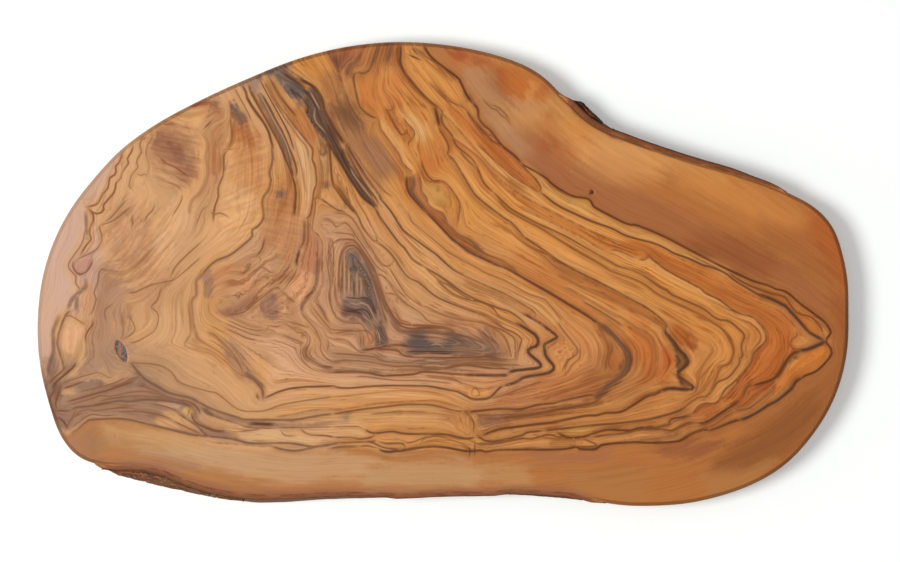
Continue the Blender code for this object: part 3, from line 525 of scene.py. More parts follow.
    ("hair", "milk", "", -78.6, 39, -80.3, 30.2, -80.2, 26.6, -77.4, 24.6, -75.1, 21.1, -74.1, 17.2, -74.6,
     4, -73.6, 0),
    ("hair", -74, 33.4, -70.6, 33.6, -67.6, 31.4, -66, 29, -62, 30.4),
    ("hair", "milk", "", -70.4, 22, -68, 20.6, -67.2, 8, -68, -8),
    ("hair", -72.2, 12, -69.4, -6, -70.2, -12, -68.6, -18),
    ("smoke", -76, 11, -78, -6, -79, -9, -81, -12, -86, -18, -87, -21, -87, -24),
    ("plum", -78.4, -8.4, -80.4, -11, -86, -15.6),
    ("hair", -87.2, -22.6, -86.8, -24.6, -79.3, -33.5, -77.4, -36.8, -75.6, -40.7, -75.4, -45.2, -74, -49.1,
     -71.5, -52.2, -67.6, -54.1, -62, -54.8),
    ("ghost", -85, -23, -84, -26, -74, -34, -72, -38, -68, -40, -58, -41),
    ("ghost", -83, -21, -71, -35, -67, -37, -57, -38),
    ("hair", -80.6, -20.4, -70.9, -32, -67, -34.4, -54, -34.4),
    ("hair", -78.6, -17.4, -73.4, -23.4, -72.2, -27, -69.6, -30),
    ("ghost", "", "milk", -86, -28, -77, -39, -73, -47, -71, -49),
    ("hair", -71, -39.6, -70.6, -44, -71.4, -47.4),
    ("hair", "dove", "dove", -82.4, -43.2, -84.2, -46.2, -84.4, -49, -82.4, -52, -72, -57.8, -67.6, -58.2),
    ("hair", -81, -44.8, -82, -48.4, -80.8, -51.4, -77.4, -53.2),
    ("hair", -85, -44, -86.4, -47, -85.6, -51, -82.4, -54.6),
    ("plum", -76, -56, -72, -57.2, -66.6, -57.8),
    ("ghost", -91, -18, -94, -15, -100, -10),
    ("band", -90.4, -17.9, -94.3, -15.3, -97.5, -11.4),
    ("hair", -89.7, 3.6, -92.3, -1.6, -97.4, -8.8, -99.6, -10),
    ("hair", -91.7, 3.6, -101.4, -7.2),
    ("hair", -96.2, 1, -102, -3.6, -106.6, -3.4),
    ("hair", -93.6, 6.4, -97, 1.6, -108, -8.6),
    ("hair", -99.6, -10, -104, -8.8, -119.7, -21.2, -123.6, -23.8, -133, -25.4),
    ("hair", -111, -12.2, -119.6, -19.4, -124, -22),
    ("hair", -112, -17, -112.2, -20.6, -111, -24.4),
    ("ghost", -105, -11, -106, -14),
    ("hair", -107, -31.6, -102.6, -32.4, -99.4, -31.6),
    ("hair", -109.6, -35.4, -107, -31.8),
    ("hair", -95, -29, -82, -33.2),
    ("hair", -98.8, -37.4, -86.4, -42.4),
    ("hair", -134, -30.3, -118.4, -36.8, -111.2, -38.1),
    ("hair", -132.7, -28.4, -122.3, -32.9, -114.5, -34.8, -110, -34.2),
    ("hair", -134.6, -32.9, -121, -39.4, -114, -40.6),
    ("ghost", -130, -27, -118, -32, -111, -33),
    ("ghost", -155, -37, -158, -41, -159, -44, -155, -46, -148, -48, -142, -50, -134, -57),
    ("ghost", -150, -41, -138, -48, -129, -57),
    ("ghost", -146, -36, -135, -43, -122, -58),
    ("hair", -145, -35.5, -139.8, -38.1, -132.7, -45.2, -128.8, -49.8, -122.4, -61.6),
    ("ghost", -131, -44, -126, -50, -119, -61),
    ("dusk", "dove", "dove", -121.6, -62.6, -117, -64.4, -112.2, -69.7, -111, -72.3, -110.6, -77.6),
    ("smoke", "dove", "dove", -123, -61, -119, -62, -110, -70),
    ("plum", -114.6, -73, -114.4, -75.6, -112.6, -77.4),
    ("dark", -110.2, -76.6, -99.5, -72, -87.1, -69.7, -68.9, -69.1, -66, -69.3),
    ("hair", -193.4, -54.4, -175.2, -56.1, -166.8, -60.6, -164.8, -63.9, -160.9, -67.4, -144.4, -72.3,
     -139.2, -73.6, -128.8, -81.8, -124.9, -83.7, -119.7, -84.6, -109.9, -84.2, -97.5, -80.1, -75.4, -76.6,
     -68, -75.8),
    ("ghost", "cream", "dove", -103, -88, -90, -86, -82, -84, -66, -83, -60, -83),
    ("dusk", "dove", "dove", -192.8, -54.1, -184.3, -63.9, -173.9, -70.4, -167.4, -73.6, -156.1, -76.2,
     -149.6, -79.5),
    ("dusk", -156.1, -76.2, -140.5, -83.8, -126.2, -88.3, -121, -89.6, -101.4, -89.9, -92.3, -89.9, -75.4,
     -87, -68, -86.3),
    ("ring", "dove", "", -164, -77, -156.1, -78.8, -152.2, -81.4, -150.2, -84, -149.4, -87),
    ("hair", "", "milk", -149, -83, -145, -86.2, -127.5, -91.8, -115.8, -94.8, -92, -94.6, -76, -94.2, -68,
     -94.1),
    ("ink", -120, -92.6, -115.6, -92.2, -103.4, -92.8),
    ("hair", -94.9, -91, -90.6, -91.2),
    ("dusk", "", "milk", -164.2, -85.3, -152.2, -93, -147, -98.2, -143.7, -100.3),
    ("ring", "dove", "", -155.4, -85, -152.4, -91.4, -143.1, -95.7, -139.2, -96.7, -134, -96.6),
    ("hair", -157.6, -88, -155, -80.4),
    ("ring", -166.1, -90.5, -149, -98.6),
    ("dusk", "dove", "", -229.9, -98, -226, -96.4, -219.5, -90.9, -215.6, -89.6, -196.7, -89.2, -180.4,
     -92.8, -160.9, -97.4, -155.7, -98.7, -143.7, -100.3),
    ("dusk", "", "milk", -150.2, -99.5, -131.4, -101.3, -118.4, -104.2, -99.5, -104.1, -91.7, -104.5, -81.9,
     -106.2, -76.7, -106.2, -64, -104.2),
    ("dusk", "milk", "", -106.6, -105.5, -99.5, -107.8, -89.7, -108.8, -75.4, -105.5),
    ("ghost", "", "milk", -147, -102, -140, -104, -124, -105, -114, -106, -104, -106),
    ("dusk", -70, -107.6, -64, -106.6, -52, -106.4),
    ("hair", -100.1, -95.7, -98.8, -98.2, -96.2, -99.6, -90, -99.7),
    ("ring", "milk", "milk", -88.4, -95.1, -82.6, -98.8, -72.2, -99.5, -65.7, -100.8),
    ("hair", -126, -97, -112, -95.6),
    ("ring", "milk", "milk", -190.5, 79.6, -192.1, 74.7, -194.4, 71, -193.8, 68.2, -197.7, 62.3, -198.3,
     59.1, -201.3, 55.9, -202.6, 50.2, -209, 42.6, -208.8, 39.8, -210.4, 37.8, -213, 37.1, -216.2, 38.3,
     -218.6, 40.6),
    ("ring", "milk", "milk", -197, 75.3, -199.3, 69, -201.5, 66.2, -201.2, 63, -202.2, 60.9, -205.1, 59.1,
     -206.5, 52.8, -209.3, 49.5, -212, 44.3, -214.3, 42.4, -220.1, 41.2),
    ("hair", -183.6, 86, -186.6, 80, -185.6, 74.7, -187.9, 71.4, -188.6, 68.2, -187.8, 66, -191.5, 61,
     -193.1, 55.8, -193.4, 53.9, -191.2, 52),
    ("hair", -189, 62.4, -186, 60.6, -183.4, 61.6, -182.2, 58.4),
    ("ghost", -180, 88, -179, 84, -182, 79, -183, 74, -182, 70, -181, 67, -182, 60),
    ("hair", -194.6, 46, -204.4, 34.8, -208, 32.4),
    ("hair", -192.1, 41.5, -202.6, 33.1, -211, 30),
    ("hair", -177.8, 42.8, -178.5, 39.6, -181.7, 36.3, -184, 32.4),
    ("hair", -190.6, 37, -191.6, 34, -191, 31, -192, 28),
    ("hair", -160.3, 49.3, -161.6, 44.1, -167, 35),
    ("ring", "milk", "milk", -218.6, 40.6, -215.3, 36.1, -215.6, 32.2, -217.4, 28.3, -217.5, 24.4, -216.6,
     21.1, -219.5, 17.9, -223.4, 11.4),
    ("smoke", "milk", "", -220, 39, -219, 23),
    ("hair", "", "milk", -220.8, 27, -221.4, 21.4, -224, 16.1, -229.6, 8.1, -230.5, 3.9, -226.1, -1.6,
     -226.3, -5.5, -222.7, -10.1),
    ("hair", -212, 30, -210, 21.8, -211.7, 17.4, -214.9, 14, -226, 8.8),
    ("ring", -215.6, 8.8, -217.5, 4.4, -220.1, 1, -223.4, -0.3, -225.6, 0.8, -227.9, 4.9, -226.9, 8.4),
    ("smoke", -220, -2, -220, -7, -221, -9, -228, -15, -230, -19, -231, -22),
    ("smoke", -225, -13, -226, -24),
    ("dusk", "dove", "milk", -229, -22, -232.5, -25.5, -236.1, -34.8, -237, -39.4, -237.4, -43.9, -233.8,
     -56.3, -234.4, -60.4),
    ("smoke", -236, -25, -240, -35, -240, -40, -240, -44, -240, -48, -243, -58, -243, -62),
    ("hair", -233.6, -26.4, -229, -26, -220.4, -31.4),
    ("hair", -206, 2, -209.6, 3, -211.7, 1, -212.3, -4.2, -214.9, -12, -213.6, -15.3, -215.6, -22.5, -218.2,
     -25.7),
    ("ring", -215.6, -28, -216, -31.4, -218.8, -35.3, -220.1, -38.7, -219.6, -43),
    ("hair", -203, -18, -207.8, -21.8, -208.4, -24.4, -207.1, -29),
    ("hair", -194, -11.4, -189.5, -11.2, -179.8, -6.9, -168.1, -4.2, -164.2, -2.6, -153.6, 6.4, -149, 10.4),
    ("hair", -167.4, -1.6, -165.5, 3.4, -160.9, 8.8, -149, 19.6),
    ("hair", -173.3, -7.5, -175.9, -16, -179.6, -20.3, -175.3, -25.1, -177.2, -34.2, -185, -39.8, -189.5,
     -41.7, -193.4, -42.3),
    ("hair", -193.4, -25.1, -189.7, -32.9, -190.8, -36.1, -194.1, -38.7, -197.3, -40),
    ("ghost", -198, -24, -197, -36, -199, -41),
    ("hair", -235.1, -68.4, -230.5, -65.8, -215.6, -61.3, -211.7, -60.9, -205.2, -63.9, -202.8, -61.9),
    ("hair", -206.6, -57.6, -205.4, -60.6, -203.6, -62.4),
    ("ring", -235, -71, -220.8, -66),
    ("dark", -226, -54.4, -228.6, -58.2, -239, -67.4, -240.4, -71),
    ("ring", -232, -57.6, -239.4, -64, -242.6, -68),
    ("ring", "dove", "dove", -231.8, -78.8, -211.7, -73, -206.5, -71.7, -190.2, -65.8),
    ("hair", -230, -80.6, -217, -77, -210.4, -74.9, -205.2, -75.4, -193.4, -73, -181.7, -72.5, -167.4,
     -76.4, -160.9, -77.6),
    ("deep", -216, -81, -203, -78.8),
    ("dusk", -229, -84, -226, -82.3, -213, -80.8, -200, -78.2, -193.4, -78.6, -180, -77.2, -160.9, -79.7,
     -154.6, -82.3),
    ("hair", -212, -78.4, -200, -76, -186, -75, -171, -76.6),
    ("hair", -224, -72.6, -208, -68.8, -194, -63.6),
    ("hair", -206, -69.8, -198, -67.6, -191, -64, -186.6, -63.4),
    ("hair", -190, -69, -184, -69.4, -172, -74),
    ("hair", -228.6, -94.4, -219.5, -87.9, -215.6, -86.6, -209, -87.3, -202, -87),
    ("hair", -227.3, -87.9, -223.4, -84.7, -218.2, -83.4, -213, -84, -200, -82.4, -193, -82),
    ("hair", -231, -92, -228, -88.4, -224.6, -86.6, -220.4, -85.8),
    ("hair", -180, -80, -172, -81.2, -166, -83.4, -162, -86),
    ("hair", -200, -85, -190, -84.6, -180, -85.4, -172, -87.4, -166, -90),
    ("dark", -238, -69, -240.6, -74, -241.8, -79, -237, -92),
    ("ring", -235.6, -70, -238.6, -80, -237.4, -84),
    ("ring", -240.6, -84, -229, -84.4),
    ("dark", -239, -92, -236.6, -88.6, -233.6, -91, -231, -95.6),
    ("hair", -226, -84, -232.6, -96),
    ("dark", -236, -99.4, -233, -104),
    ("scar", -202.4, -98.4, -202, -100),
    ("ring", -174.6, 72.1, -170.7, 68.4, -164.8, 65.6, -157, 60.4),
    ("ghost", -176, 78, -164, 77, -159, 75),
    ("ghost", -172, 62, -166, 61, -156, 55),
    ("ghost", -171, 57, -165, 55, -160, 51),
    ("hair", -174.6, 92.8, -171, 92, -167.4, 92.6, -164.8, 91.8),
    ("hair", -186.6, 84, -184, 83, -182.4, 86),
)

# Plain areas of colour, painted in this order: tone, cover, half the width of the soft edge, then x, y, x, y.
# A fourth value in a tone is how much of the grain shows there.
HEARTWOOD = (208, 145, 85)

SAPWOOD = (
    -12, 141, 3, 126, 12, 116, 20, 104, 25, 92, 34, 82, 48, 68, 62, 60, 76, 50, 90, 46, 98, 38, 116, 30,
    140, 21, 170, 6, 200, -7, 213, -12, 232, -27, 238.5, -36, 239, -48, 231, -59, 217, -67, 205, -78, 186,
    -89, 164, -96, 147, -102, 130, -104, 104, -105, 88, -108, 34, -109, -30, -109, -52, -107, -72, -106,
    -90, -109, -103, -107, -120, -104, -140, -101, -175, -94, -200, -89, -216, -89, -230, -98, -262, -110,
    -262, -160, 262, -160, 262, 160, -12, 160,
)
AREAS = (
    # The broad zones of the left half and of the middle
    ((212, 154, 102, 0.6), 1, 12, -265, -75, -265, 60, -200, 110, -110, 125, -104, 80, -108, 50, -114, 28,
     -152, -8, -150, -45, -125, -60, -110, -76, -60, -68, -60, -104, -265, -104),
    ((222, 163, 116), 0.8, 5, -105, -34, -60, -60, -30, -52, 30, -50, 60, -56, 40, -68, -60, -70, -110,
     -78),
    ((205, 150, 95), 0.8, 4, -110, -84, -60, -78, 0, -78, 60, -72, 100, -62, 40, -82, 0, -88, -60, -92,
     -110, -90),
    ((205, 135, 65), 0.9, 4, -95, 132, -62, 141, -56, 128, -60, 108, -66, 96, -73, 112, -80, 120, -96, 128),
    ((165, 90, 55), 0.8, 3, -54, 143, -28, 144, -26, 130, -40, 126, -52, 128),
    ((222, 160, 100), 0.8, 3, -164, 99, -150, 105, -148, 92, -152, 84, -160, 82),
    ((195, 122, 62), 0.7, 5, 52, -8, 76, -22, 100, -32, 116, -42, 122, -34, 112, -22, 50, 16, 40, 12),
    ((204, 138, 86), 0.8, 4, 66, -22, 96, -32, 104, -46, 98, -58, 84, -62, 72, -56, 64, -44, 62, -34),
    ((216, 160, 102), 0.7, 3, 50, -12, 68, -20, 74, -30, 66, -32, 46, -18),
    ((190, 110, 55), 0.8, 3, 116, -26, 128, -28, 142, -56, 138, -66, 122, -66, 112, -42),
    ((190, 125, 80), 0.6, 4, 0, -80, 60, -76, 96, -66, 100, -74, 60, -84, 0, -90),
    ((186, 120, 82), 0.7, 3, 28, -68, 62, -62, 60, -76, 44, -80, 28, -78),
    ((190, 120, 72), 0.7, 3, 58, -62, 80, -60, 100, -62, 102, -72, 80, -76, 60, -76),
    ((212, 140, 70), 0.75, 8, -80, 140, -20, 144, 14, 116, 30, 92, 60, 62, 110, 34, 160, 12, 150, 0, 20, 30,
     -10, 30, -30, 50, -70, 110),
    ((198, 148, 112), 0.6, 10, -130, 20, -80, 40, -60, 40, -40, 30, -20, 5, 60, -50, 50, -66, -60, -64,
     -100, -60, -125, -50, -135, -20),
    ((184, 136, 104, 1.2), 0.6, 5, -76, 28, -60, 28, -48, 20, -36, -6, -24, -26, 30, -36, 44, -50, 30, -60,
     -20, -58, -50, -54, -62, -40, -74, -20),
    ((168, 110, 68), 0.7, 4, -76, 118, -66, 130, -58, 126, -54, 112, -58, 108, -68, 108, -74, 110),
    ((148, 98, 66, 0.5), 0.8, 7, -68, 108, -58, 112, -34, 78, -28, 66, -30, 60, -38, 56, -44, 58, -71, 99),
    ((168, 116, 80), 0.7, 4, -46, 88, -30, 70, -30, 62, -38, 62, -46, 72),
    # Sapwood, outside the heartwood's last line
    ((180, 116, 64, 0.25), 1, 0.8, *SAPWOOD),
    ((163, 102, 66), 0.8, 6, 46, 68, 76, 50, 90, 46, 98, 38, 213, -12, 232, -27, 240, -20, 222, 2, 140, 42,
     110, 54, 58, 84),
    ((148, 88, 50), 0.8, 8, 150, 4, 172, 6, 200, -4, 204, 10, 186, 22, 160, 26, 146, 16),
    ((187, 113, 60), 0.5, 8, 180, 36, 226, 14, 222, 36, 196, 50, 180, 54),
    ((176, 96, 45), 0.8, 6, 232, 10, 246, -10, 260, 0, 246, 40, 228, 46, 224, 30),
    ((158, 94, 52), 0.8, 6, 236, -14, 262, -10, 262, -50, 244, -48),
    ((140, 86, 50), 0.5, 10, 190, -94, 232, -62, 246, -38, 262, -30, 262, -70, 230, -110, 200, -124, 176,
     -118),
    ((206, 148, 88), 0.8, 6, 66, 112, 84, 98, 104, 88, 156, 70, 176, 60, 168, 52, 92, 78, 74, 92, 62, 106),
    ((204, 138, 76), 0.8, 7, 150, 68, 180, 60, 206, 48, 224, 34, 214, 24, 164, 44, 144, 54),
    ((205, 134, 69), 0.8, 5, 72, 76, 90, 70, 94, 88, 82, 98, 72, 92),
    ((172, 98, 55), 0.8, 5, 50, 80, 64, 74, 72, 84, 66, 98, 54, 98, 46, 90),
    ((182, 108, 60), 0.8, 4, 68, 72, 78, 66, 84, 76, 76, 82),
    ((145, 90, 50), 0.85, 6, 165, -112, 190, -100, 228, -72, 232, -84, 216, -104, 190, -120, 166, -124),
    ((178, 125, 75), 0.8, 4, 160, -124, 184, -122, 204, -114, 190, -132, 164, -138),
    ((150, 92, 58), 0.8, 4, 132, -104, 160, -101, 172, -104, 160, -114, 134, -114),
    ((176, 120, 69), 0.8, 6, 76, -122, 104, -118, 128, -122, 124, -138, 80, -136),
    ((170, 110, 72), 0.8, 4, 52, -108, 104, -108, 100, -116, 60, -117),
    ((190, 140, 90), 0.8, 4, 12, -118, 52, -118, 54, -130, 12, -130),
    ((194, 147, 100), 0.85, 6, -50, -116, 12, -114, 24, -120, 20, -132, -50, -132),
    ((200, 150, 104), 0.9, 5, -190, -98, -110, -109, -60, -110, -40, -114, -50, -126, -100, -128, -150,
     -120, -186, -110),
    ((200, 145, 90), 0.85, 4, -210, -92, -190, -93, -140, -103, -150, -108, -180, -106, -206, -101),
    ((186, 132, 82), 0.7, 4, -205, -98, -170, -108, -190, -110, -206, -106),
    ((164, 114, 82), 0.7, 5, -196, -112, -170, -112, -150, -116, -150, -122, -176, -122, -196, -118),
    ((168, 118, 74), 0.7, 4, -222, -98, -208, -100, -206, -112, -216, -110),
    ((186, 128, 82), 0.8, 4, -240, -98, -226, -99, -220, -104, -220, -114, -232, -112),
    # The right end of the heartwood
    ((182, 104, 48), 0.75, 1.2, 120, 20, 135, 15, 178, -5, 190, -13, 210, -24, 217, -33, 214, -43, 213, -52,
     205, -62, 192, -69, 184, -62, 189, -55, 191, -48, 198, -42, 199, -38, 196, -32, 190, -26, 180, -23,
     170, -16, 140, 1, 128, 10, 121, 9, 112, 13, 103, 14, 98, 17, 108, 20),
    ((214, 138, 68), 0.8, 0.7, 134, 15.6, 190, -10.4, 206, -19.4, 205, -20.8, 188, -11.8, 134, 13.4),
    ((212, 160, 92), 0.8, 0.8, 50, 66, 60, 60, 70, 52.5, 80, 47, 90, 45, 98, 37.5, 110, 31, 130, 25, 176, 2,
     160, 6, 145, 11.5, 130, 19.5, 118, 22.5, 75, 41, 62, 49, 60, 54, 56, 60),
    ((205, 132, 62), 0.85, 0.8, 184, -3, 198, -9.5, 212, -14, 217, -19, 228, -27, 232, -32, 233, -37, 229,
     -37, 224, -33, 215, -22, 209, -18, 187, -7.5),
    ((203, 122, 55), 0.85, 0.8, 237, -43, 238, -48, 236, -52, 231, -57, 218, -64, 207, -73, 205, -70, 207,
     -65, 220, -50),
    ((118, 84, 54), 0.9, 0.6, 218, -45.5, 222.7, -47, 220, -49.4, 218.7, -52.5, 211, -57.5, 205.7, -64,
     204.4, -62.6, 206.6, -58.8, 214.2, -48),
    ((150, 88, 45), 0.85, 0.8, 190.5, -68, 204, -65.5, 205, -69, 202, -71, 190, -71.5),
    ((165, 92, 42), 0.85, 0.8, 130, -25, 146, -32, 153, -37, 157, -41, 157, -46, 154, -48, 146, -43, 137,
     -34, 138, -31),
    ((168, 102, 54), 0.85, 1, 118, -17, 129, -24, 138, -32, 134, -34, 120, -26, 95, -11, 66, 4, 50, 17, 45,
     26, 48, 25, 75, 6),
    ((108, 76, 52), 0.9, 0.6, 135.6, -33.5, 140, -37.5, 149.5, -50, 150.8, -56, 145, -61, 143.5, -57, 143.5,
     -50),
    ((95, 65, 45), 0.9, 0.6, 144.5, -60, 155, -70, 147, -71, 145, -66),
    ((182, 98, 52), 0.8, 2, 133, -46, 138, -45, 140, -52, 138, -58, 133, -58),
    ((124, 86, 62), 0.85, 0.8, 95, -28, 100, -31, 108, -39, 115, -48.5, 117, -53, 116.5, -57, 111, -65, 100,
     -73.5, 95, -75.5, 96, -72.5, 99, -70, 101, -66, 108, -60, 110.5, -51, 110, -47, 108, -43, 104, -39, 96,
     -33.5),
    ((208, 124, 66), 0.85, 1, 103, -46, 108, -52, 108, -56, 105, -59, 102, -56, 102, -51),
    ((142, 88, 54), 0.75, 1.2, 96, -77, 98, -80, 70, -86, 28, -92, 24, -88, 35, -86, 50, -84),
    ((146, 98, 72), 0.8, 1.5, 21, -87, 34, -86, 45, -88, 42, -94, 28, -95, 20, -92),
    ((206, 160, 86), 0.9, 0.7, 71, -97.5, 76, -95.5, 84, -94.6, 98, -94.5, 88, -98.5, 82, -99.8, 77, -99.5),
    ((208, 142, 82), 0.9, 0.6, 83, -101.5, 86, -101.7, 93, -105.2, 84.5, -106.5, 82.8, -104.5),
    ((176, 118, 60), 0.85, 0.8, 68, -101, 76, -101.5, 80, -103, 80, -106, 70, -106.8, 62, -106),
    ((182, 106, 56), 0.8, 1, 157, -80, 168, -80, 172, -81, 176, -79, 170, -86, 160, -88, 155, -88, 153,
     -86),
    ((208, 132, 74), 0.85, 0.8, 160, -93.5, 175, -85.5, 186, -83.3, 190, -81.5, 204, -71.5, 205, -68, 211,
     -60, 214, -60, 210, -68, 204, -75, 193, -82.5, 176, -89, 170, -92.5, 164, -94.5),
    ((166, 92, 46), 0.8, 1, 171, -76, 178, -69, 187, -57, 191, -69, 204, -66, 204, -70, 200, -74, 187, -82,
     179, -82, 173, -79),
    ((218, 152, 92), 0.9, 0.5, 191, -67.5, 196, -65.2, 200, -61.5, 193, -67.6),
    ((212, 138, 62), 0.85, 0.6, 171.5, -77.5, 180, -76, 178, -79.5, 174, -80.5),
    ((128, 84, 56), 0.6, 1, 110, -101, 125, -100, 140, -100, 155, -95, 153, -98, 147, -102, 135, -103, 115,
     -103),
    # The middle
    ((152, 90, 58), 0.8, 0.8, -8, 36, -4, 34, 0.5, 34, 11, 23.5, 16, 22, 26, 12.5, 38, 6.5, 45, 1.5, 32, 6,
     14, 15.3, 6, 21),
    ((118, 92, 66), 0.85, 0.6, 18, 17, 20, 18.5, 24, 14.5, 25, 12, 21, 12.5),
    ((168, 118, 78), 0.7, 1.2, 12, -2, 34, -11, 56, -24, 53, -26, 32, -14, 12, -8),
    ((150, 105, 75), 0.6, 2, -2, -5, 8, -4, 13, -9, 11, -16, 2, -16, -2, -10),
    ((178, 134, 98), 0.7, 2, -68, -50, -40, -49, -20, -51, 45, -53, 45, -58, -68, -60),
    ((134, 106, 86), 0.75, 3, -61, 8, -60, 16, -56, 19, -52, 16, -47, 8, -35, -26, -32, -44, -41, -45, -42,
     -36, -46, -32, -56, -30, -62, -27, -60, -16, -63, -10),
    ((118, 94, 82), 0.85, 1.2, -58, 12, -54, 15, -51, 13, -44, -1, -38, -19, -37, -25, -38, -27, -46, -14,
     -50, 0, -56, 3),
    ((162, 126, 100), 0.75, 0.8, -53.6, 0, -52, 1, -48.8, -8, -48, -14, -53, -14.6),
    ((116, 90, 80), 0.85, 1.2, -60, -14, -46, -15, -43, -19, -41, -25, -43, -29, -48, -28, -60, -22, -61,
     -20),
    ((132, 90, 78), 0.7, 1.2, -63, -23, -58, -23, -57, -27, -63, -27),
    ((204, 156, 92), 0.7, 1.2, -70, -24, -66, -24, -64, -27, -65, -29, -70, -28),
    ((100, 82, 75), 0.85, 0.8, -42, -32, -38, -30.4, -34.4, -40, -34, -44.6, -41.4, -45),
    ((142, 110, 88), 0.75, 4, -24, -47, -10, -49, 34, -50, 34, -54, 10, -54, 6, -58, -8, -59, -20, -55),
    ((98, 80, 72, 0.7), 0.9, 4, -24, -40, -14, -36, 0, -38, 4, -36, 10, -36, 34, -46, 33, -49, 26, -50, -20,
     -50, -26, -45),
    ((94, 80, 76), 0.75, 3, -20, -39, -14, -37, -8, -38, -6, -42, -8, -47, -12, -49, -18, -49),
    ((144, 106, 78), 0.75, 1.5, 6, -43, 14, -43, 29, -47, 30, -50, 14, -50, 6, -48),
    ((150, 106, 86), 0.8, 1, 24, -31, 28, -32, 33, -42, 28, -41, 25, -37),
    ((166, 112, 86), 0.75, 1, -46, 8, -38, -17, -34, -23, -36, -23, -40, -15, -46, 4),
    ((200, 134, 94), 0.8, 1.5, -48, -40, -46, -37, -43, -37, -41, -40, -43, -43, -47, -44),
    ((116, 74, 46), 0.8, 5, -69, 104, -62, 108, -56, 104, -51, 97, -50, 90, -55, 88, -62, 91, -68, 97),
    ((162, 84, 54), 0.7, 3, -70, 136, -60, 140, -52, 138, -56, 130, -66, 129),
    ((132, 84, 60), 0.75, 2.5, -68, 134, -60, 136, -52, 134, -57, 119, -61, 120),
    ((205, 128, 64), 0.8, 2, -53, 122, -46, 124, -38, 125, -34, 118, -34, 108, -40, 99, -46, 99, -51, 104,
     -53, 112),
    ((205, 125, 65), 0.8, 2, -36, 100, -30, 98, -24, 104, -24, 120, -30, 126, -36, 122),
    ((222, 160, 98), 0.8, 1, -38, 93, -27, 85, -18, 65, -21, 65, -26, 70),
    ((222, 168, 108), 0.8, 2, -26, 101, -10, 92, -8, 84, -12, 80, -17, 84, -18, 90, -23, 95),
    ((186, 100, 46), 0.8, 1, -32, 98, -25, 86, -29, 88, -35, 97),
    ((214, 130, 62), 0.8, 2, -13, 61, -6, 60, 0, 64, -1, 72, -8, 74, -13, 70),
    ((152, 86, 58), 0.75, 1, -22, 60, -15, 62, -12, 49, -9, 43, 1, 37, 4, 31, -1, 29, -11, 38, -21, 50),
    ((218, 166, 98), 0.8, 1.5, -13, 56, -8, 57, -1, 56, 2, 52, 3, 46, 1, 40, -4, 40, -8, 44),
    ((196, 110, 48), 0.7, 2, 2, 104, 12, 100, 20, 91, 36, 77, 58, 55, 54, 54, 44, 60, 14, 84, 6, 95),
    ((188, 106, 50), 0.7, 1.5, 25, 83, 30, 84, 34, 81, 46, 69, 44, 66, 28, 78),
    ((216, 160, 84), 0.9, 0.6, 15.5, 104.5, 24, 92.5, 30, 87, 29, 86, 23.5, 90, 19, 95.5, 16, 100.5),
    ((176, 122, 84), 0.7, 4, 8, 122, 16, 128, 30, 124, 44, 112, 56, 98, 60, 84, 54, 72, 47, 72, 38, 80, 24,
     97, 20, 106),
    ((160, 108, 70), 0.5, 6, 22, 128, 34, 126, 46, 108, 44, 96, 36, 92, 28, 98, 20, 112),
    ((188, 112, 60), 0.7, 4, 2, 138, 20, 139, 40, 133, 44, 126, 16, 128, 8, 124),
    ((192, 138, 94), 0.6, 3, 13, 128, 24, 127, 34, 106, 40, 98, 44, 88, 36, 84, 14, 116),
    ((184, 134, 98), 0.5, 2.5, 34, 96, 46, 88, 52, 78, 48, 70, 32, 88),
    ((152, 78, 44), 0.6, 2, 18, 135, 29, 134, 30, 129, 20, 129),
    ((164, 94, 54), 0.5, 4, 50, 91, 64, 90, 78, 82, 74, 76, 58, 80, 50, 84),
    ((170, 86, 38), 0.7, 2.5, 33, 126, 44, 126, 60, 114, 62, 110, 48, 107, 40, 112, 34, 118),
    ((192, 104, 46), 0.6, 2, 42, 120, 52, 119, 54, 113, 46, 111),
    ((214, 152, 92), 0.7, 1.5, 54, 119, 61, 118, 53, 104, 50, 107),
    ((206, 152, 102), 0.5, 3, 42, 108, 58, 107, 66, 103, 62, 98, 54, 94, 46, 97),
    ((168, 90, 46), 0.7, 2, 58, 120, 65, 116, 67, 111, 60, 112),
    ((166, 84, 48), 0.8, 1.5, 1, 138, 8, 138, 15, 135, 13, 131, 6, 132),
    ((176, 92, 46), 0.8, 1.5, 23, 136, 28, 135, 29, 130, 23, 130),
    # The dark streak that comes in from the branch, and the column beside it
    ((222, 172, 118), 0.8, 1, -90, 90, -81, 75, -81, 66, -78, 58, -80, 46, -83, 44, -90, 76),
    ((190, 140, 95), 0.8, 1.5, -76, 72, -71, 73, -69, 64, -71, 58, -76, 60),
    ((115, 85, 65), 0.8, 1, -74, 56, -71, 58, -70, 54, -71, 52, -74, 52),
    ((186, 114, 62), 0.8, 1, -93, 102, -85, 103, -80, 96, -77, 88, -79, 79, -83, 82, -89, 90),
    ((142, 98, 78), 0.8, 1, -90, 109, -85, 108, -85, 103, -90, 104),
    ((106, 78, 60), 0.85, 0.6, -115.5, 111, -112, 112, -98.5, 87.5, -93.5, 74, -91, 60, -93, 60, -100.5,
     80.5),
    ((150, 118, 100), 0.8, 1, -125, 117, -118, 121, -112, 121, -113, 112, -118, 110, -122, 112),
    ((102, 86, 80), 0.9, 1.5, -118, 122, -100, 128, -96, 129, -95, 126, -86, 118, -84, 113, -86, 108, -91,
     108, -96, 111, -103, 121, -108, 122, -113, 120),
    ((90, 78, 68), 0.7, 3, -98, 118, -88, 118, -85, 112, -90, 110, -97, 112),
    ((78, 58, 50), 0.9, 0.8, -85.5, 115, -84.6, 99, -75.8, 85, -67, 75, -51, 50, -47.5, 45.5, -41, 40,
     -39.6, 41.6, -53, 61.6, -72.8, 100, -75.4, 110, -80.5, 115.6, -83, 113.8),
    # The top left
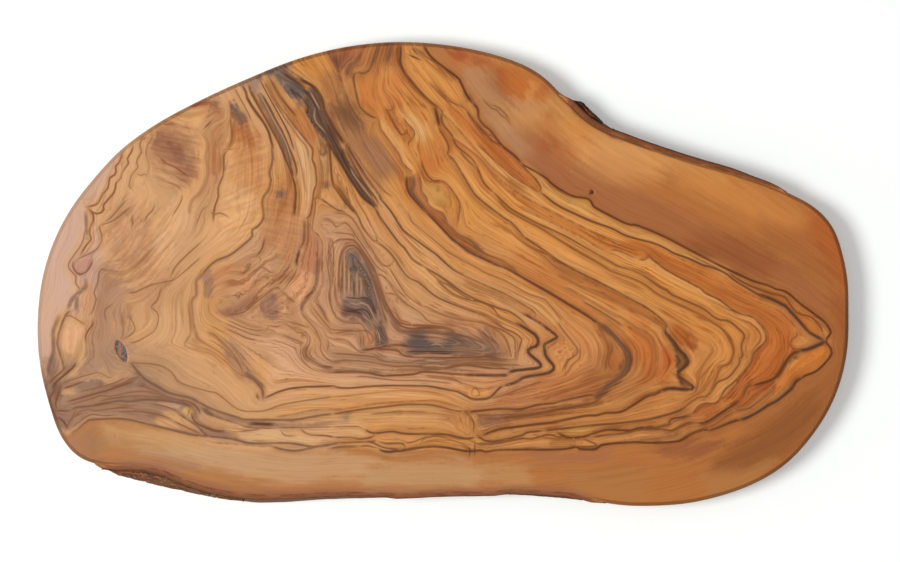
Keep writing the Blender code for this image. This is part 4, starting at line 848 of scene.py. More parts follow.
    ((110, 80, 60), 0.8, 2, -133, 104, -129, 106, -121, 91, -125, 92),
    ((200, 115, 60), 0.8, 3, -128, 92, -122, 93, -114, 84, -116, 78, -128, 80),
    ((150, 100, 80), 0.8, 2, -143, 108, -138, 110, -136, 104, -138, 100, -143, 101),
    ((185, 90, 60), 0.8, 1, -156, 104, -144, 106, -144, 103, -154, 102),
    ((215, 140, 65), 0.8, 1.5, -172, 92, -167, 96, -162, 98, -162, 95, -168, 92),
    ((185, 115, 80), 0.7, 1.5, -141, 75, -137, 76, -137, 56, -141, 56),
    ((150, 95, 70), 0.7, 2, -160, 72, -154, 73, -153, 61, -159, 60),
    # Broad light and dark patches of the burl
    ((222, 162, 104, 0.25), 0.75, 5, -136, 78, -126, 82, -112, 76, -109, 60, -118, 34, -134, 30, -138, 50),
    ((176, 120, 80), 0.6, 5, -180, 84, -168, 96, -156, 94, -150, 82, -148, 66, -154, 52, -166, 50, -176, 60,
     -182, 72),
    ((180, 122, 80), 0.4, 4, -150, 104, -142, 104, -138, 84, -138, 60, -144, 36, -158, 14, -172, 2, -166,
     18, -152, 40, -147, 62, -147, 86),
    ((184, 126, 88), 0.5, 5, -206, 34, -194, 44, -182, 30, -176, 10, -186, 0, -200, 6, -210, 20),
    ((178, 120, 82), 0.4, 5, -190, 0, -172, 2, -162, -8, -166, -20, -178, -24, -192, -20),
    ((196, 128, 74), 0.5, 4, -132, 100, -120, 98, -112, 86, -112, 70, -122, 66, -130, 78),
    ((230, 174, 118), 0.65, 4, -128, 54, -114, 52, -112, 36, -116, 24, -136, 16, -142, 28),
    ((226, 170, 120), 0.5, 4, -162, 50, -152, 40, -156, 22, -168, 6, -178, 16),
    ((168, 122, 92), 0.75, 6, -218, 10, -204, 6, -196, -6, -194, -44, -198, -56, -208, -62, -224, -66, -240,
     -62, -244, -52, -234, -52, -224, -56, -220, -46, -216, -24, -218, -10, -224, 0),
    # Pale and pinkish at the left end: partly the wood's tone, partly painted reflection of the lamp
    ((206, 160, 134), 0.6, 5, -240, 20, -228, 40, -214, 36, -210, 12, -214, -12, -220, -24, -232, -26, -242,
     -10),
    ((104, 84, 74), 0.75, 1.5, -131, 105, -126, 104, -120, 95, -123, 91, -128, 96),
    # What the light and the thickness of the growth layers do over wide stretches
    ((232, 166, 88), 0.35, 10, -14, 60, 20, 60, 60, 46, 164, -8, 160, -26, 130, -26, 100, -8, 10, 32, -14,
     44),
    ((226, 168, 108), 0.4, 8, -44, 24, -20, 20, 10, 0, 18, -14, 0, -26, -22, -22, -42, 10),
    ((220, 170, 126), 0.45, 6, -60, -66, -30, -64, -4, -68, -10, -78, -40, -80, -62, -76),
    ((178, 138, 112), 0.4, 6, -76, -44, -30, -48, -14, -52, -20, -58, -50, -58, -76, -54),
    ((130, 72, 46), 0.45, 5, -54, 144, -28, 144, -28, 126, -44, 122, -52, 128),
    ((232, 172, 110), 0.45, 8, 78, 84, 104, 82, 136, 70, 132, 58, 104, 58, 84, 68),
    ((180, 96, 40), 0.35, 6, 190, -22, 216, -38, 216, -62, 198, -68, 186, -56),
    ((226, 158, 84), 0.35, 7, 148, -22, 174, -22, 184, -34, 176, -50, 160, -44, 150, -32),
    ((146, 88, 52), 0.4, 7, 196, 34, 216, 28, 240, 10, 244, -14, 214, 8, 196, 16),
    ((132, 94, 70), 0.35, 6, -196, -46, -176, -44, -124, -90, -134, -100, -156, -92, -176, -74, -196, -62),
    ((110, 76, 56), 0.4, 4, -262, -60, -244, -62, -228, -90, -229, -98, -240, -104, -262, -96),
    ((158, 102, 70), 0.4, 4, -232, -98, -214, -100, -210, -116, -224, -116, -236, -104),
    ((122, 72, 48), 0.75, 1.2, 76, 108, 80, 99, 92, 90, 104, 84, 146, 72, 150, 74, 112, 90, 96, 100, 84,
     112),
    ((80, 56, 60), 0.6, 1.2, 12, 112, 17, 110, 19, 106, 14, 107),
    ((206, 124, 58, 0.5), 0.5, 3, -54, 122, -44, 124, -40, 108, -41, 99, -52, 106),
    ((198, 118, 58, 0.5), 0.4, 4, -17, 80, -4, 82, 5, 76, 3, 62, -10, 62),
    ((120, 66, 42), 0.5, 3, -66, 131, -56, 131, -54, 121, -63, 118),
    ((162, 98, 66), 0.5, 3, -222, -114, -200, -113, -182, -116, -140, -131, -120, -134, -90, -136, -90,
     -150, -240, -150, -232, -118),
    ((206, 132, 74, 0.7), 0.45, 5, -132, 92, -107, 68, -106, 50, -110, 42, -134, 60),
    ((178, 104, 52), 0.45, 3, -141, 104, -134, 104, -134, 80, -136, 64, -142, 64),
    ((226, 160, 96), 0.5, 3, -150, 102, -145, 102, -144, 80, -148, 60, -166, 28, -174, 28, -164, 40, -152,
     66, -150, 80),
    ((158, 88, 44), 0.4, 3, -130, 99, -119, 92, -112, 78, -118, 78, -126, 84),
    ((226, 162, 102, 0.5), 0.4, 5, -134, 52, -112, 40, -116, 30, -130, 14, -146, 10, -146, 30),
    ((206, 122, 54), 0.4, 4, 38, 130, 62, 122, 66, 108, 52, 106, 40, 112),
    ((214, 150, 90), 0.35, 3, 22, 140, 60, 134, 58, 128, 24, 132),
    ((216, 154, 88), 0.4, 5, 36, 102, 56, 100, 80, 94, 92, 84, 70, 84, 50, 88, 38, 92),
    ((136, 78, 44), 0.35, 7, 88, -48, 112, -44, 132, -60, 128, -80, 104, -84, 88, -72),
    ((140, 84, 48), 0.4, 6, 142, -82, 164, -76, 180, -88, 170, -102, 146, -102),
    ((150, 112, 86), 0.35, 8, -250, -40, -176, -56, -176, -76, -262, -70),
    # The left end, pale and pinkish: partly the wood's tone, partly painted reflection of the lamp
    ((208, 162, 132, 0.3), 0.8, 1.5, -250, -60, -262, -60, -262, 40, -230, 60, -200, 90, -196, 78, -201, 62,
     -212, 45, -219, 41, -222, 19, -229, 8, -229, 1, -226, -8, -230, -19, -237, -27, -240, -38, -240, -48,
     -244, -58),
    ((160, 100, 70), 0.7, 3, -175, 86, -165, 84, -160, 76, -153, 62, -156, 57, -163, 60, -176, 72, -178,
     80),
    ((148, 88, 66), 0.6, 3, -166, 77, -160, 79, -156, 73, -159, 67, -165, 69),
    ((190, 122, 74, 0.6), 0.6, 4, -110, 56, -95, 58, -91, 50, -90, 40, -86, 34, -86, 24, -89, 12, -96, 6,
     -104, 12, -110, 20),
    ((132, 98, 78), 0.8, 1, -103, 50, -99, 52, -97, 49, -99, 46, -103, 47),
    ((182, 114, 76), 0.75, 1.5, -84, 33, -80, 31, -80, 26, -76, 21, -75, 12, -76, 2, -80, 0, -86, 3, -88,
     10),
    ((218, 154, 108), 0.8, 1, -96, 3, -86, 1, -81, -2, -81, -9, -84, -15, -90, -17, -94, -14, -97, -10, -92,
     -2),
    ((196, 130, 82), 0.8, 3, -150, 0, -138, 6, -122, 4, -113, -4, -118, -10, -136, -10),
    ((150, 108, 84), 0.7, 1.5, -149, 2, -144, 2, -141, -6, -143, -14, -149, -14),
    ((156, 112, 92), 0.8, 1.5, -112, -18, -108, -13, -102, -14, -101, -24, -104, -30, -110, -26),
    ((215, 165, 120), 0.8, 0.8, -98.8, -13, -96.4, -13.6, -96.2, -25, -98.6, -25.4),
    ((156, 102, 80), 0.7, 1.5, -139, -23, -128, -20, -113, -11, -118, -20, -126, -25, -135, -26),
    ((168, 120, 88), 0.7, 2.5, -136, -40, -125, -43, -114, -60, -114, -64, -118, -65, -124, -64, -131, -58),
    ((205, 140, 100), 0.8, 0.8, -203.4, -29.6, -201.4, -29, -200.6, -34, -202, -38, -203.4, -34),
    ((205, 145, 95), 0.7, 1.5, -223, -5, -216, -6, -214, -14, -218, -25, -222, -22),
    ((222, 160, 112), 0.9, 0.8, -230.5, -30.9, -226, -30.9, -220.8, -33.5, -220.1, -36.8, -221.4, -40,
     -224.7, -42, -227.9, -49.1, -231.2, -49.1, -233.8, -47.2, -234.8, -43.9, -233.8, -34.8),
    ((190, 130, 105), 0.85, 0.8, -226, 8.8, -227.9, 5.5, -226.6, 1.6, -224, -0.3, -220.8, 1.6, -218.8, 4.2,
     -216.9, 7.5, -217, 9.4),
    ((206, 154, 100), 0.9, 0.7, -223.4, -41, -220.3, -41, -220.6, -54, -227, -63, -230, -64, -229, -60,
     -225, -57),
    # The grey streaks of the lower left
    ((142, 108, 88), 0.7, 2, -176, -70, -148, -81, -136, -87, -120, -90, -100, -92, -85, -92, -70, -90, -58,
     -86, -58, -91, -95, -97, -115, -96, -132, -92, -176, -77),
    ((140, 106, 90), 0.7, 2, -158, -90, -146, -93, -124, -101, -110, -103, -82, -104, -64, -101, -66, -105,
     -80, -108, -95, -108, -128, -104, -140, -101, -152, -97),
    ((148, 108, 84), 0.8, 2, -232, -66, -222, -64, -205, -68, -196, -66, -188, -62, -172, -72, -160, -76,
     -150, -81, -150, -88, -158, -90, -166, -86, -175, -86, -176, -92, -200, -88, -214, -88, -224, -92,
     -231, -97, -244, -98, -262, -90, -262, -62, -240, -62),
    ((205, 150, 112), 0.8, 0.8, -175, -79.4, -166, -79, -160, -81, -161, -83, -170, -82.4),
    ((206, 156, 90), 0.9, 0.6, -160.9, -81.4, -154.4, -82, -154.4, -88.6, -160, -87),
    ((200, 146, 96), 0.9, 0.6, -234.8, -70.4, -227, -70.6, -226.6, -74.3, -234, -74.4),
    ((200, 140, 80), 0.8, 1, -147, -91, -138, -90, -129, -93, -130, -95, -142, -93),
    ((120, 96, 76), 0.9, 0.7, -149.6, -82.7, -146, -82, -141, -85, -141, -88, -146, -88),
    ((122, 82, 62), 0.8, 0.8, -239.6, -67, -235, -68, -235, -76, -239, -78),
    ((150, 110, 120), 0.9, 0.6, -236.4, -87, -234.6, -86.6, -233.8, -88.6, -235.4, -89.6),
    ((150, 110, 90), 0.75, 2, -246, -52, -240, -50, -237, -64, -244, -66),
    ((218, 170, 118), 0.9, 0.8, -126, -98, -118, -96, -102, -95.5, -95, -99.6, -80, -100.5, -75, -102, -72,
     -104, -80, -105.5, -90, -103.8, -120, -103, -126, -100.5),
    ((125, 90, 70), 0.8, 0.7, -103, -105.6, -94, -105, -78, -106.6, -94, -107.6),
    ((216, 166, 112), 0.9, 0.7, -88, -95.5, -52, -95, -44, -98.5, -47, -100, -68, -100, -82, -98.5),
    ((206, 140, 72), 0.9, 0.7, -13.5, -103.5, -9, -100.5, 0, -100.5, 16, -105, 18, -107.5, 0, -105.7, -10,
     -105.6, -20, -107),
)

# Curly grain shows as faint rays across the growth lines: which way they run in degrees, how strong they are,
# half the width of the soft edge, then x, y, x, y and so on
RAYS = (
    (24, 0.6, 5, -140, 30, -134, 50, -134, 84, -122, 94, -108, 80, -106, 56, -110, 36, -124, 18),
    (-14, 0.5, 4, -110, 62, -98, 60, -88, 40, -84, 14, -96, 2, -108, 12, -114, 30),
    (-14, 0.9, 4, -182, 88, -164, 96, -150, 88, -148, 66, -160, 50, -178, 56),
    (46, 0.7, 8, -216, 30, -196, 50, -170, 40, -160, 10, -180, -12, -206, -8),
    (32, 0.9, 4, -114, -2, -96, 6, -84, -2, -84, -16, -100, -28, -118, -22),
)

# The heart is where the trunk's pith ran. The growth lines lie round it, so the fine grain does too.
HEART = (
    (45, -46), (10, -42), (-25, -44), (-40, -30), (-45, -5), (-55, 20), (-66, 60), (-80, 100), (-103, 126),
)
TINY = 1e-5  # how near counts as touching
FAR = 1e9


def linear(tone):
    """A tone as the photograph's 8-bit values give it, in linear light."""
    share = np.array(tone) / 255
    return np.where(share <= 0.04045, share / 12.92, ((share + 0.055) / 1.055) ** 2.4)


def smooth_step(value):
    share = np.clip(value, 0, 1)
    return share * share * (3 - 2 * share)


def clouds(x, y, z):
    """Soft uneven noise, in three octaves."""
    return noise.fractal(Vector((x, y, z)), 1.0, 2.0, 3)


def smooth_line(points, step):
    """Points about a step apart along a smooth curve through the given points."""
    points = np.array(points, float)
    padded = np.concatenate([2 * points[:1] - points[1:2], points, 2 * points[-1:] - points[-2:-1]])
    pieces = []
    for p0, p1, p2, p3 in zip(padded, padded[1:], padded[2:], padded[3:]):
        count = max(1, round(float(np.linalg.norm(p2 - p1)) / step))
        t = np.arange(count)[:, None] / count
        pieces.append(
            0.5 * (2 * p1 + (p2 - p0) * t + (2 * p0 - 5 * p1 + 4 * p2 - p3) * t**2
                   + (3 * p1 - p0 - 3 * p2 + p3) * t**3)
        )
    return np.concatenate([*pieces, points[-1:]])


def measure(line, spots):
    """For each spot: how far it is from the line, on its left if positive, and how far along the line."""
    start, run = line[:-1], np.diff(line, axis=0)
    offset = spots[:, None] - start[None]
    share = np.clip((offset * run).sum(2) / (run**2).sum(1), 0, 1)
    away = offset - share[..., None] * run
    nearest = (away**2).sum(2).argmin(1)
    rows = np.arange(len(spots))
    away, run = away[rows, nearest], run[nearest]
    side = np.sign(run[:, 0] * away[:, 1] - run[:, 1] * away[:, 0])
    return np.hypot(*away.T) * np.where(side == 0, 1, side), nearest + share[rows, nearest]


def round_box(points, places, margin):
    """Which places lie in the box round some points, or no more than a margin outside it."""
    return np.flatnonzero(((places > points.min(0) - margin) & (places < points.max(0) + margin)).all(1))


def near_line(line, places, margin, stretch=16):
    """The places near a long line, measured a stretch at a time: which, how far off, and how far along."""
    gap = np.full(len(places), FAR)
    along = np.zeros(len(places))
    for first in range(0, len(line) - 1, stretch):
        piece = line[first:first + stretch + 1]
        near = round_box(piece, places, margin)
        off, at = measure(piece, places[near])
        closer = np.abs(off) < np.abs(gap[near])
        gap[near[closer]] = off[closer]
        along[near[closer]] = at[closer] + first
    which = np.flatnonzero(np.abs(gap) < margin)
    return which, gap[which], along[which]


def closed(ring):
    return np.concatenate([ring, ring[:1]])


def ring_reach(ring, spots, middle):
    """How far a ring is from its middle, in the direction of each spot."""
    angle = np.arctan2(*(ring - middle).T[::-1])
    order = np.argsort(angle)
    turn = np.arctan2(*(spots - middle).T[::-1])
    return np.interp(turn, angle[order], np.hypot(*(ring - middle).T)[order], period=2 * math.pi)


def is_inside(ring, spots, margin=0.0, middle=(0, 0)):
    """Whether each spot is inside a ring that is seen whole from its middle."""
    return np.hypot(*(spots - middle).T) < ring_reach(ring, spots, middle) - margin


def inside_area(outline, spots):
    """How far each spot is inside a closed outline, and negative outside it."""
    crossings = np.zeros(len(spots), int)
    for (x0, y0), (x1, y1) in zip(outline, np.roll(outline, -1, axis=0)):
        if y0 == y1:
            continue
        between = (spots[:, 1] > min(y0, y1)) & (spots[:, 1] <= max(y0, y1))
        crossings += between & (spots[:, 0] < x0 + (spots[:, 1] - y0) * (x1 - x0) / (y1 - y0))
    away = np.abs(measure(closed(outline), spots)[0])
    return np.where(crossings % 2 == 1, away, -away)


def node_corners(node):
    return [node.matrix_world @ vertex.co for vertex in node.data.vertices]


def mesh_tree(node):
    """A node's faces, ready to be hit by rays."""
    return BVHTree.FromPolygons(node_corners(node), [tuple(face.vertices) for face in node.data.polygons])


def direction(angle):
    return Vector((math.cos(angle), math.sin(angle), 0))


# The wall is measured on the plain solid, at stations along the rim, and smoothed a little
RIM_STATIONS = 800
RIM_HEIGHT = 0.9  # where the stations are laid out, as a share of the thickness
BLUR_STATIONS = 8
BLUR_WIDTH = 3.5  # of the bell of weights, in stations
WALL_LEVELS = (0, 0.25, 0.6, 1.1, 2, 4.5, 8.5, 12.5, 16, 18.5, 19.3, 19.7)  # below the working face

slab_tree = mesh_tree(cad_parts["slab"])


def wall_ring(height, angles):
    """The slab's wall at this height: its points in these directions from the middle of the board."""
    level = Vector((0, 0, min(max(height, TINY), THICKNESS - TINY)))
    reach = []
    for angle in angles:
        outwards = direction(angle)
        reach.append(slab_tree.ray_cast(outwards * LENGTH + level, -outwards)[0].xy.length)
    weights = np.exp(-0.5 * (np.arange(-BLUR_STATIONS, BLUR_STATIONS + 1) / BLUR_WIDTH) ** 2)
    around = np.concatenate([reach[-BLUR_STATIONS:], reach, reach[:BLUR_STATIONS]])
    smooth_reach = np.convolve(around, weights / weights.sum(), mode="valid")
    return np.stack([smooth_reach * np.cos(angles), smooth_reach * np.sin(angles)], axis=1)


first_angles = np.linspace(-math.pi, math.pi, RIM_STATIONS, endpoint=False)
first_ring = wall_ring(THICKNESS * RIM_HEIGHT, first_angles)
steps = np.hypot(*(np.roll(first_ring, -1, axis=0) - first_ring).T)
run = np.concatenate([[0], np.cumsum(steps)])
even_run = np.linspace(0, run[-1], RIM_STATIONS, endpoint=False)
station_angles = np.interp(even_run, run, np.append(first_angles, math.pi))
wall_heights = [THICKNESS - level * MM for level in WALL_LEVELS] + [0]
wall_rings = [wall_ring(height, station_angles) for height in wall_heights]
top_ring, foot_ring = wall_rings[0] / MM, wall_rings[-1] / MM

# The bark pocket and the pin knot sit in shallow seats, with a little room round them and below
SEAT_STATIONS = 36
SEAT_CLEARANCE = 0.12
SEAT_FLOOR = 0.82  # the size of the seat's floor, as a share of its mouth
SEAT_SPARE = 0.3
SEAT_REACH = 12
BESIDE = 0.05  # metres from the middle of a seat, well outside it
ON_RIM = 0.02  # how far off the floor's rim a corner still counts as on it


def find_seat(name):
    """The seat of a piece let into the working face: its middle, depth, mouth and smaller floor."""
    low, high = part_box(name)
    middle = np.array([(low.x + high.x) / 2, (low.y + high.y) / 2]) / MM
    start = Vector((*(middle * MM), high.z - TINY))
    tree = mesh_tree(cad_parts[name])
    mouth, floor_ring = [], []
    for turn in np.linspace(0, 2 * math.pi, SEAT_STATIONS, endpoint=False):
        way = direction(turn)
        hit = tree.ray_cast(start + way * BESIDE, -way)[0]
        reach = (hit.xy - start.xy).length / MM + SEAT_CLEARANCE
        mouth.append(middle + np.array(way[:2]) * reach)
        floor_ring.append(middle + np.array(way[:2]) * reach * SEAT_FLOOR)
    return middle, (high.z - low.z) / MM, np.array(mouth), np.array(floor_ring)


def clear_of_seats(points, gap):
    clear = np.ones(len(points), bool)
    for middle, _, mouth, _ in seats.values():
        reach = np.hypot(*(mouth - middle).T).max() + gap
        near = np.flatnonzero(np.hypot(*(points - middle).T) < reach)
        if len(near):
            off = np.abs(measure(closed(mouth), points[near])[0])
            clear[near] = (off > gap) & ~is_inside(mouth, points[near], middle=middle)
    return clear


seats = {name: find_seat(name) for name in ("bark_pocket", "pin_knot")}

# The corners of the slab's mesh follow the growth lines and their edges, with loose spots between them
LINE_STEP = 1.8
LINE_MARGIN = 0.5  # from the rim
LINE_SEAT_GAP = 1.2
RIM_WIDTH = 0.7
SPOT_FIELD = (252, 145)
SPOT_STEP = 1.55
SPOT_ROW = 0.87  # from row to row, as a share of the step
SPOT_JITTER = 0.2
SPOT_MARGIN = 1.4
SPOT_SEAT_GAP = 0.5
SPOT_LINE_GAP = 1.1
FOOT_STEP = 4.5
FOOT_MARGIN = 2.5
WALL_SLANT = 0.35  # how far the figure leans along the wall on its way down


def clear_of(spots, others, gap):
    """The spots that stay at least a gap away from all the others."""
    cells = {}
    for x, y in others:
        cells.setdefault((int(x // gap), int(y // gap)), []).append((x, y))
    kept = []
    for x, y in spots:
        column, row = int(x // gap), int(y // gap)
        around = (cells.get((column + i, row + j), ()) for i in (-1, 0, 1) for j in (-1, 0, 1))
        if all((x - a) ** 2 + (y - b) ** 2 > gap**2 for cell in around for a, b in cell):
            kept.append((x, y))
    return np.array(kept)


def scatter(step):
    """Spots spread over the whole board, in rows that are a little uneven."""
    half_x, half_y = SPOT_FIELD
    x, y = np.meshgrid(np.arange(-half_x, half_x, step), np.arange(-half_y, half_y, step * SPOT_ROW))
    x[1::2] += step / 2
    spots = np.stack([x.ravel(), y.ravel()], axis=1)
    return spots + rng.uniform(-SPOT_JITTER, SPOT_JITTER, spots.shape) * step


def triangulate(runs, spots):
    """A flat mesh through runs of points, closed or open, and loose spots: places, faces and new numbers."""
    corners, edges = [], []
    for points, is_closed in runs:
        first, count = len(corners), len(points)
        corners += [tuple(point) for point in points]
        edges += [(first + i, first + i + 1) for i in range(count - 1)]
        if is_closed:
            edges.append((first + count - 1, first))
    corners += [tuple(spot) for spot in spots]
    inside_only = 1
    places, _, triangles, origins, *_ = delaunay_2d_cdt(corners, edges, [], inside_only, TINY)
    new_place = {}
    for new, old in enumerate(origins):
        for index in old:
            new_place[index] = new
    return np.array([tuple(place) for place in places]), [tuple(face) for face in triangles], new_place


def both_edges(line, half):
    """The two edges of a stroke of this half width along a line."""
    slope = np.gradient(line, axis=0)
    normal = np.stack([-slope[:, 1], slope[:, 0]], axis=1) / np.hypot(*slope.T)[:, None]
    return [line + normal * half, line - normal * half]


def split_run(points, keep):
    """The stretches of a line whose points are all kept."""
    runs, now = [], []
    for point, good in zip([*points, None], [*keep, False]):
        if good:
            now.append(point)
            continue
        if len(now) > 1:
            runs.append(np.array(now))
        now = []
    return runs


lines = []
for pen, *row in GROWTH_LINES:
    left, right, *flat = row if isinstance(row[0], str) else ("", "", *row)
    course = smooth_line(np.array(flat).reshape(-1, 2), LINE_STEP)
    lines.append((pen, SHADES.get(left), SHADES.get(right), course))

rng = np.random.default_rng(4)
along_rim = np.roll(top_ring, -1, axis=0) - np.roll(top_ring, 1, axis=0)
along_rim /= np.hypot(*along_rim.T)[:, None]
inwards = np.stack([-along_rim[:, 1], along_rim[:, 0]], axis=1)
runs = [(top_ring, True), (top_ring + inwards * RIM_WIDTH, True)]
for _, _, mouth, floor_ring in seats.values():
    runs += [(mouth, True), (floor_ring, True)]
line_spots = []
for pen, _, _, line in lines:
    for points in [line, *both_edges(line, PENS[pen][0])]:
        keep = is_inside(top_ring, points, LINE_MARGIN) & clear_of_seats(points, LINE_SEAT_GAP)
        for stretch in split_run(points, keep):
            runs.append((stretch, False))
            line_spots.append(stretch)
spots = scatter(SPOT_STEP)
spots = spots[is_inside(top_ring, spots, SPOT_MARGIN) & clear_of_seats(spots, SPOT_SEAT_GAP)]
spots = clear_of(spots, np.concatenate(line_spots), SPOT_LINE_GAP)
top_places, top_triangles, top_index = triangulate(runs, spots)
spots = scatter(FOOT_STEP)
spots = spots[is_inside(foot_ring, spots, FOOT_MARGIN)]
foot_places, foot_triangles, foot_index = triangulate([(foot_ring, True)], spots)


def seat_depth(places):
    """How deep the working face is cut at each place: the floor of a seat, or nothing."""
    depth = np.zeros(len(places))
    for middle, piece_depth, _, floor_ring in seats.values():
        near = np.flatnonzero(np.hypot(*(places - middle).T) < SEAT_REACH)
        within = inside_area(floor_ring, places[near]) > -ON_RIM
        depth[near[within]] = piece_depth + SEAT_SPARE
    return depth


def wall_faces(above, below):
    """The faces between two rings of corners."""
    return list(zip(above, below, np.roll(below, -1), np.roll(above, -1)))


# The working face, the wall and the underside, each with the places in the figure that its corners show
top_heights = THICKNESS - seat_depth(top_places) * MM
corners = [(x * MM, y * MM, z) for (x, y), z in zip(top_places, top_heights)]
painted = [top_places]
faces = list(top_triangles)
above = np.array([top_index[i] for i in range(RIM_STATIONS)])
for height, ring in list(zip(wall_heights, wall_rings))[1:-1]:
    below = np.arange(RIM_STATIONS) + len(corners)
    corners += [(x, y, height) for x, y in ring]
    painted.append(ring / MM + along_rim * (THICKNESS - height) / MM * WALL_SLANT)
    faces += wall_faces(above, below)
    above = below
foot_start = len(corners)
corners += [(x * MM, y * MM, 0) for x, y in foot_places]
painted.append(foot_places)
faces += wall_faces(above, np.array([foot_index[i] for i in range(RIM_STATIONS)]) + foot_start)
faces += [tuple(foot_start + corner for corner in reversed(face)) for face in foot_triangles]
places = np.concatenate(painted)

slab_mesh = bpy.data.meshes.new("olive_slab")
slab_mesh.from_pydata(corners, [], [tuple(int(corner) for corner in face) for face in faces])
slab_mesh.shade_smooth()

# The age of the wood is worked out on a grid from the growth lines, and from the heart where none is near
HEART_STEP = 4
AGE_CELL = 3.0
AGE_FIELD = (261, 153)
AGE_ROUNDS = 500
ALONG_WEIGHT = 25.0  # how firmly the age is held even along the growth lines, compared with across them
LINE_SAMPLE = 3
LINE_SOFTNESS = 6
HEART_WEIGHT = 3e-6


def grain_direction(spots):
    """Across the growth lines, outwards from the heart, at each spot."""
    heart = smooth_line(HEART, HEART_STEP)

    def from_heart(spots):
        return spots - heart[((spots[:, None] - heart[None]) ** 2).sum(2).argmin(1)]

    def unit(vectors):
        return vectors / (np.hypot(*vectors.T)[:, None] + 1e-9)

    def doubled(vectors):
        """Vectors at twice their turn, so that the two ways across a line count as the same."""
        return np.stack([vectors[:, 0] ** 2 - vectors[:, 1] ** 2, 2 * vectors[:, 0] * vectors[:, 1]], axis=1)

    samples = np.concatenate([line[::LINE_SAMPLE] for *_, line in lines])
    slopes = unit(np.concatenate([np.gradient(line, axis=0)[::LINE_SAMPLE] for *_, line in lines]))
    normals = np.stack([-slopes[:, 1], slopes[:, 0]], axis=1)
    normals *= np.sign((normals * from_heart(samples)).sum(1))[:, None]
    weight = 1 / (((spots[:, None] - samples[None]) ** 2).sum(2) + LINE_SOFTNESS) ** 2
    away = unit(from_heart(spots))
    # einsum adds in a fixed order, so each run gives the same grain
    outwards = unit(np.einsum("ij,jk->ik", weight, normals) + away * HEART_WEIGHT)
    twice = np.einsum("ij,jk->ik", weight, doubled(normals))
    twice += HEART_WEIGHT * doubled(away)
    turn = np.arctan2(twice[:, 1], twice[:, 0]) / 2
    across = np.stack([np.cos(turn), np.sin(turn)], axis=1)
    return across * np.where((across * outwards).sum(1) < 0, -1, 1)[:, None]


def grain_age(places):
    """Millimetres grown outwards from the heart, which hardly change along the growth lines."""
    x, y = (np.arange(-half, half + 1, AGE_CELL) for half in AGE_FIELD)
    middles = np.stack(np.meshgrid(x[1:] - AGE_CELL / 2, y[1:] - AGE_CELL / 2), axis=-1)
    nx, ny = grain_direction(middles.reshape(-1, 2)).T.reshape(2, len(y) - 1, len(x) - 1)

    def slope(a):
        right, up = np.diff(a, axis=1), np.diff(a, axis=0)
        return (right[1:] + right[:-1]) / (2 * AGE_CELL), (up[:, 1:] + up[:, :-1]) / (2 * AGE_CELL)

    def spread(gx, gy):
        """The transpose of slope."""
        total = np.zeros((len(y), len(x)))
        for rows, down in ((slice(1, None), 1), (slice(None, -1), -1)):
            for columns, left in ((slice(1, None), 1), (slice(None, -1), -1)):
                total[rows, columns] += (left * gx + down * gy) / (2 * AGE_CELL)
        return total

    def weigh(gx, gy):
        """Slopes across the growth lines count once, and slopes along them many times."""
        off = ALONG_WEIGHT * (gy * nx - gx * ny)
        on = gx * nx + gy * ny
        return on * nx - off * ny, on * ny + off * nx

    # Conjugate gradients find the age whose slope is as near as can be to 1 across the lines and 0 along them
    age = np.zeros((len(y), len(x)))
    rest = spread(nx, ny)
    way = rest.copy()
    size = (rest**2).sum()
    for _ in range(AGE_ROUNDS):
        change = spread(*weigh(*slope(way)))
        step = size / (way * change).sum()
        age += step * way
        rest -= step * change
        new_size = (rest**2).sum()
        way = rest + new_size / size * way
        size = new_size

    u, v = (places[:, 0] - x[0]) / AGE_CELL, (places[:, 1] - y[0]) / AGE_CELL
    iu, iv = np.clip(u.astype(int), 0, len(x) - 2), np.clip(v.astype(int), 0, len(y) - 2)
    fu, fv = u - iu, v - iv
    low = age[iv, iu] * (1 - fu) + age[iv, iu + 1] * fu
    high = age[iv + 1, iu] * (1 - fu) + age[iv + 1, iu + 1] * fu
    return low * (1 - fv) + high * fv


# The colours, in this order: the areas, the shades beside the growth lines, painted shade on the rim and wall
# The rim and the wall are darkened as painted shade, where the rounded edge and the wall turn from the light
RIM_SHADE_TONE = (92, 56, 32)
RIM_SHADE_COVER = 0.60
WALL_SHADE_COVER = 0.5
# The painted rim shade is lighter at the left end, which faces the lamp
LESS_RIM_SHADE_LEFT = 0.45  # how much lighter the rim is at the left end
PALER_FROM = (-150, -90)
PALER_FADE = 60
BLUSH_TONE = (150, 98, 72)  # the darker wood beside the bark
BLUSH_REACH = 3.2
BLUSH_COVER = 0.6
BARK_FADE = 0.06  # radians
REDDER = (0.04, -0.05, -0.18)  # what the wood's red, green and blue gain from the middle to the right end
REDDER_REACH = 160
EDGE_WANDER = 2.0  # how far the grain draws the edge of an area of colour in and out
WANDER_LIMIT = 2.5
TAPER = 2  # how many steps of a line its ends take to fade
BLUNT = 0.2  # how strong they start
SWELL = 0.45  # how much a line swells and thins along its course
THINNEST = 0.6
HALO_REACH = 3.0
HALO_TONE = (140, 82, 42)
HALO_INNER = 0.7  # on the side of the heart, compared with the outer side
SHADE_FALL = 1.5  # the power that a shade falls off with
SHADE_LIMIT = 7  # no line and no shade reaches further
WANDER_ACROSS = 0.5
WANDER_ALONG = 0.04


def tint(ground, which, tone, share):
    """Mixes a tone into the ground colour of these places."""
    ground[which, :3] += (linear(tone) - ground[which, :3]) * share[:, None]


def area_share(flat, soft, spots, wander=0.0):
    """How much of an area's colour shows at each spot, from 0 outside its soft edge to 1 inside it."""
    outline = np.array(flat, float).reshape(-1, 2)
    return smooth_step((inside_area(outline, spots) + wander) / (2 * soft) + 0.5)


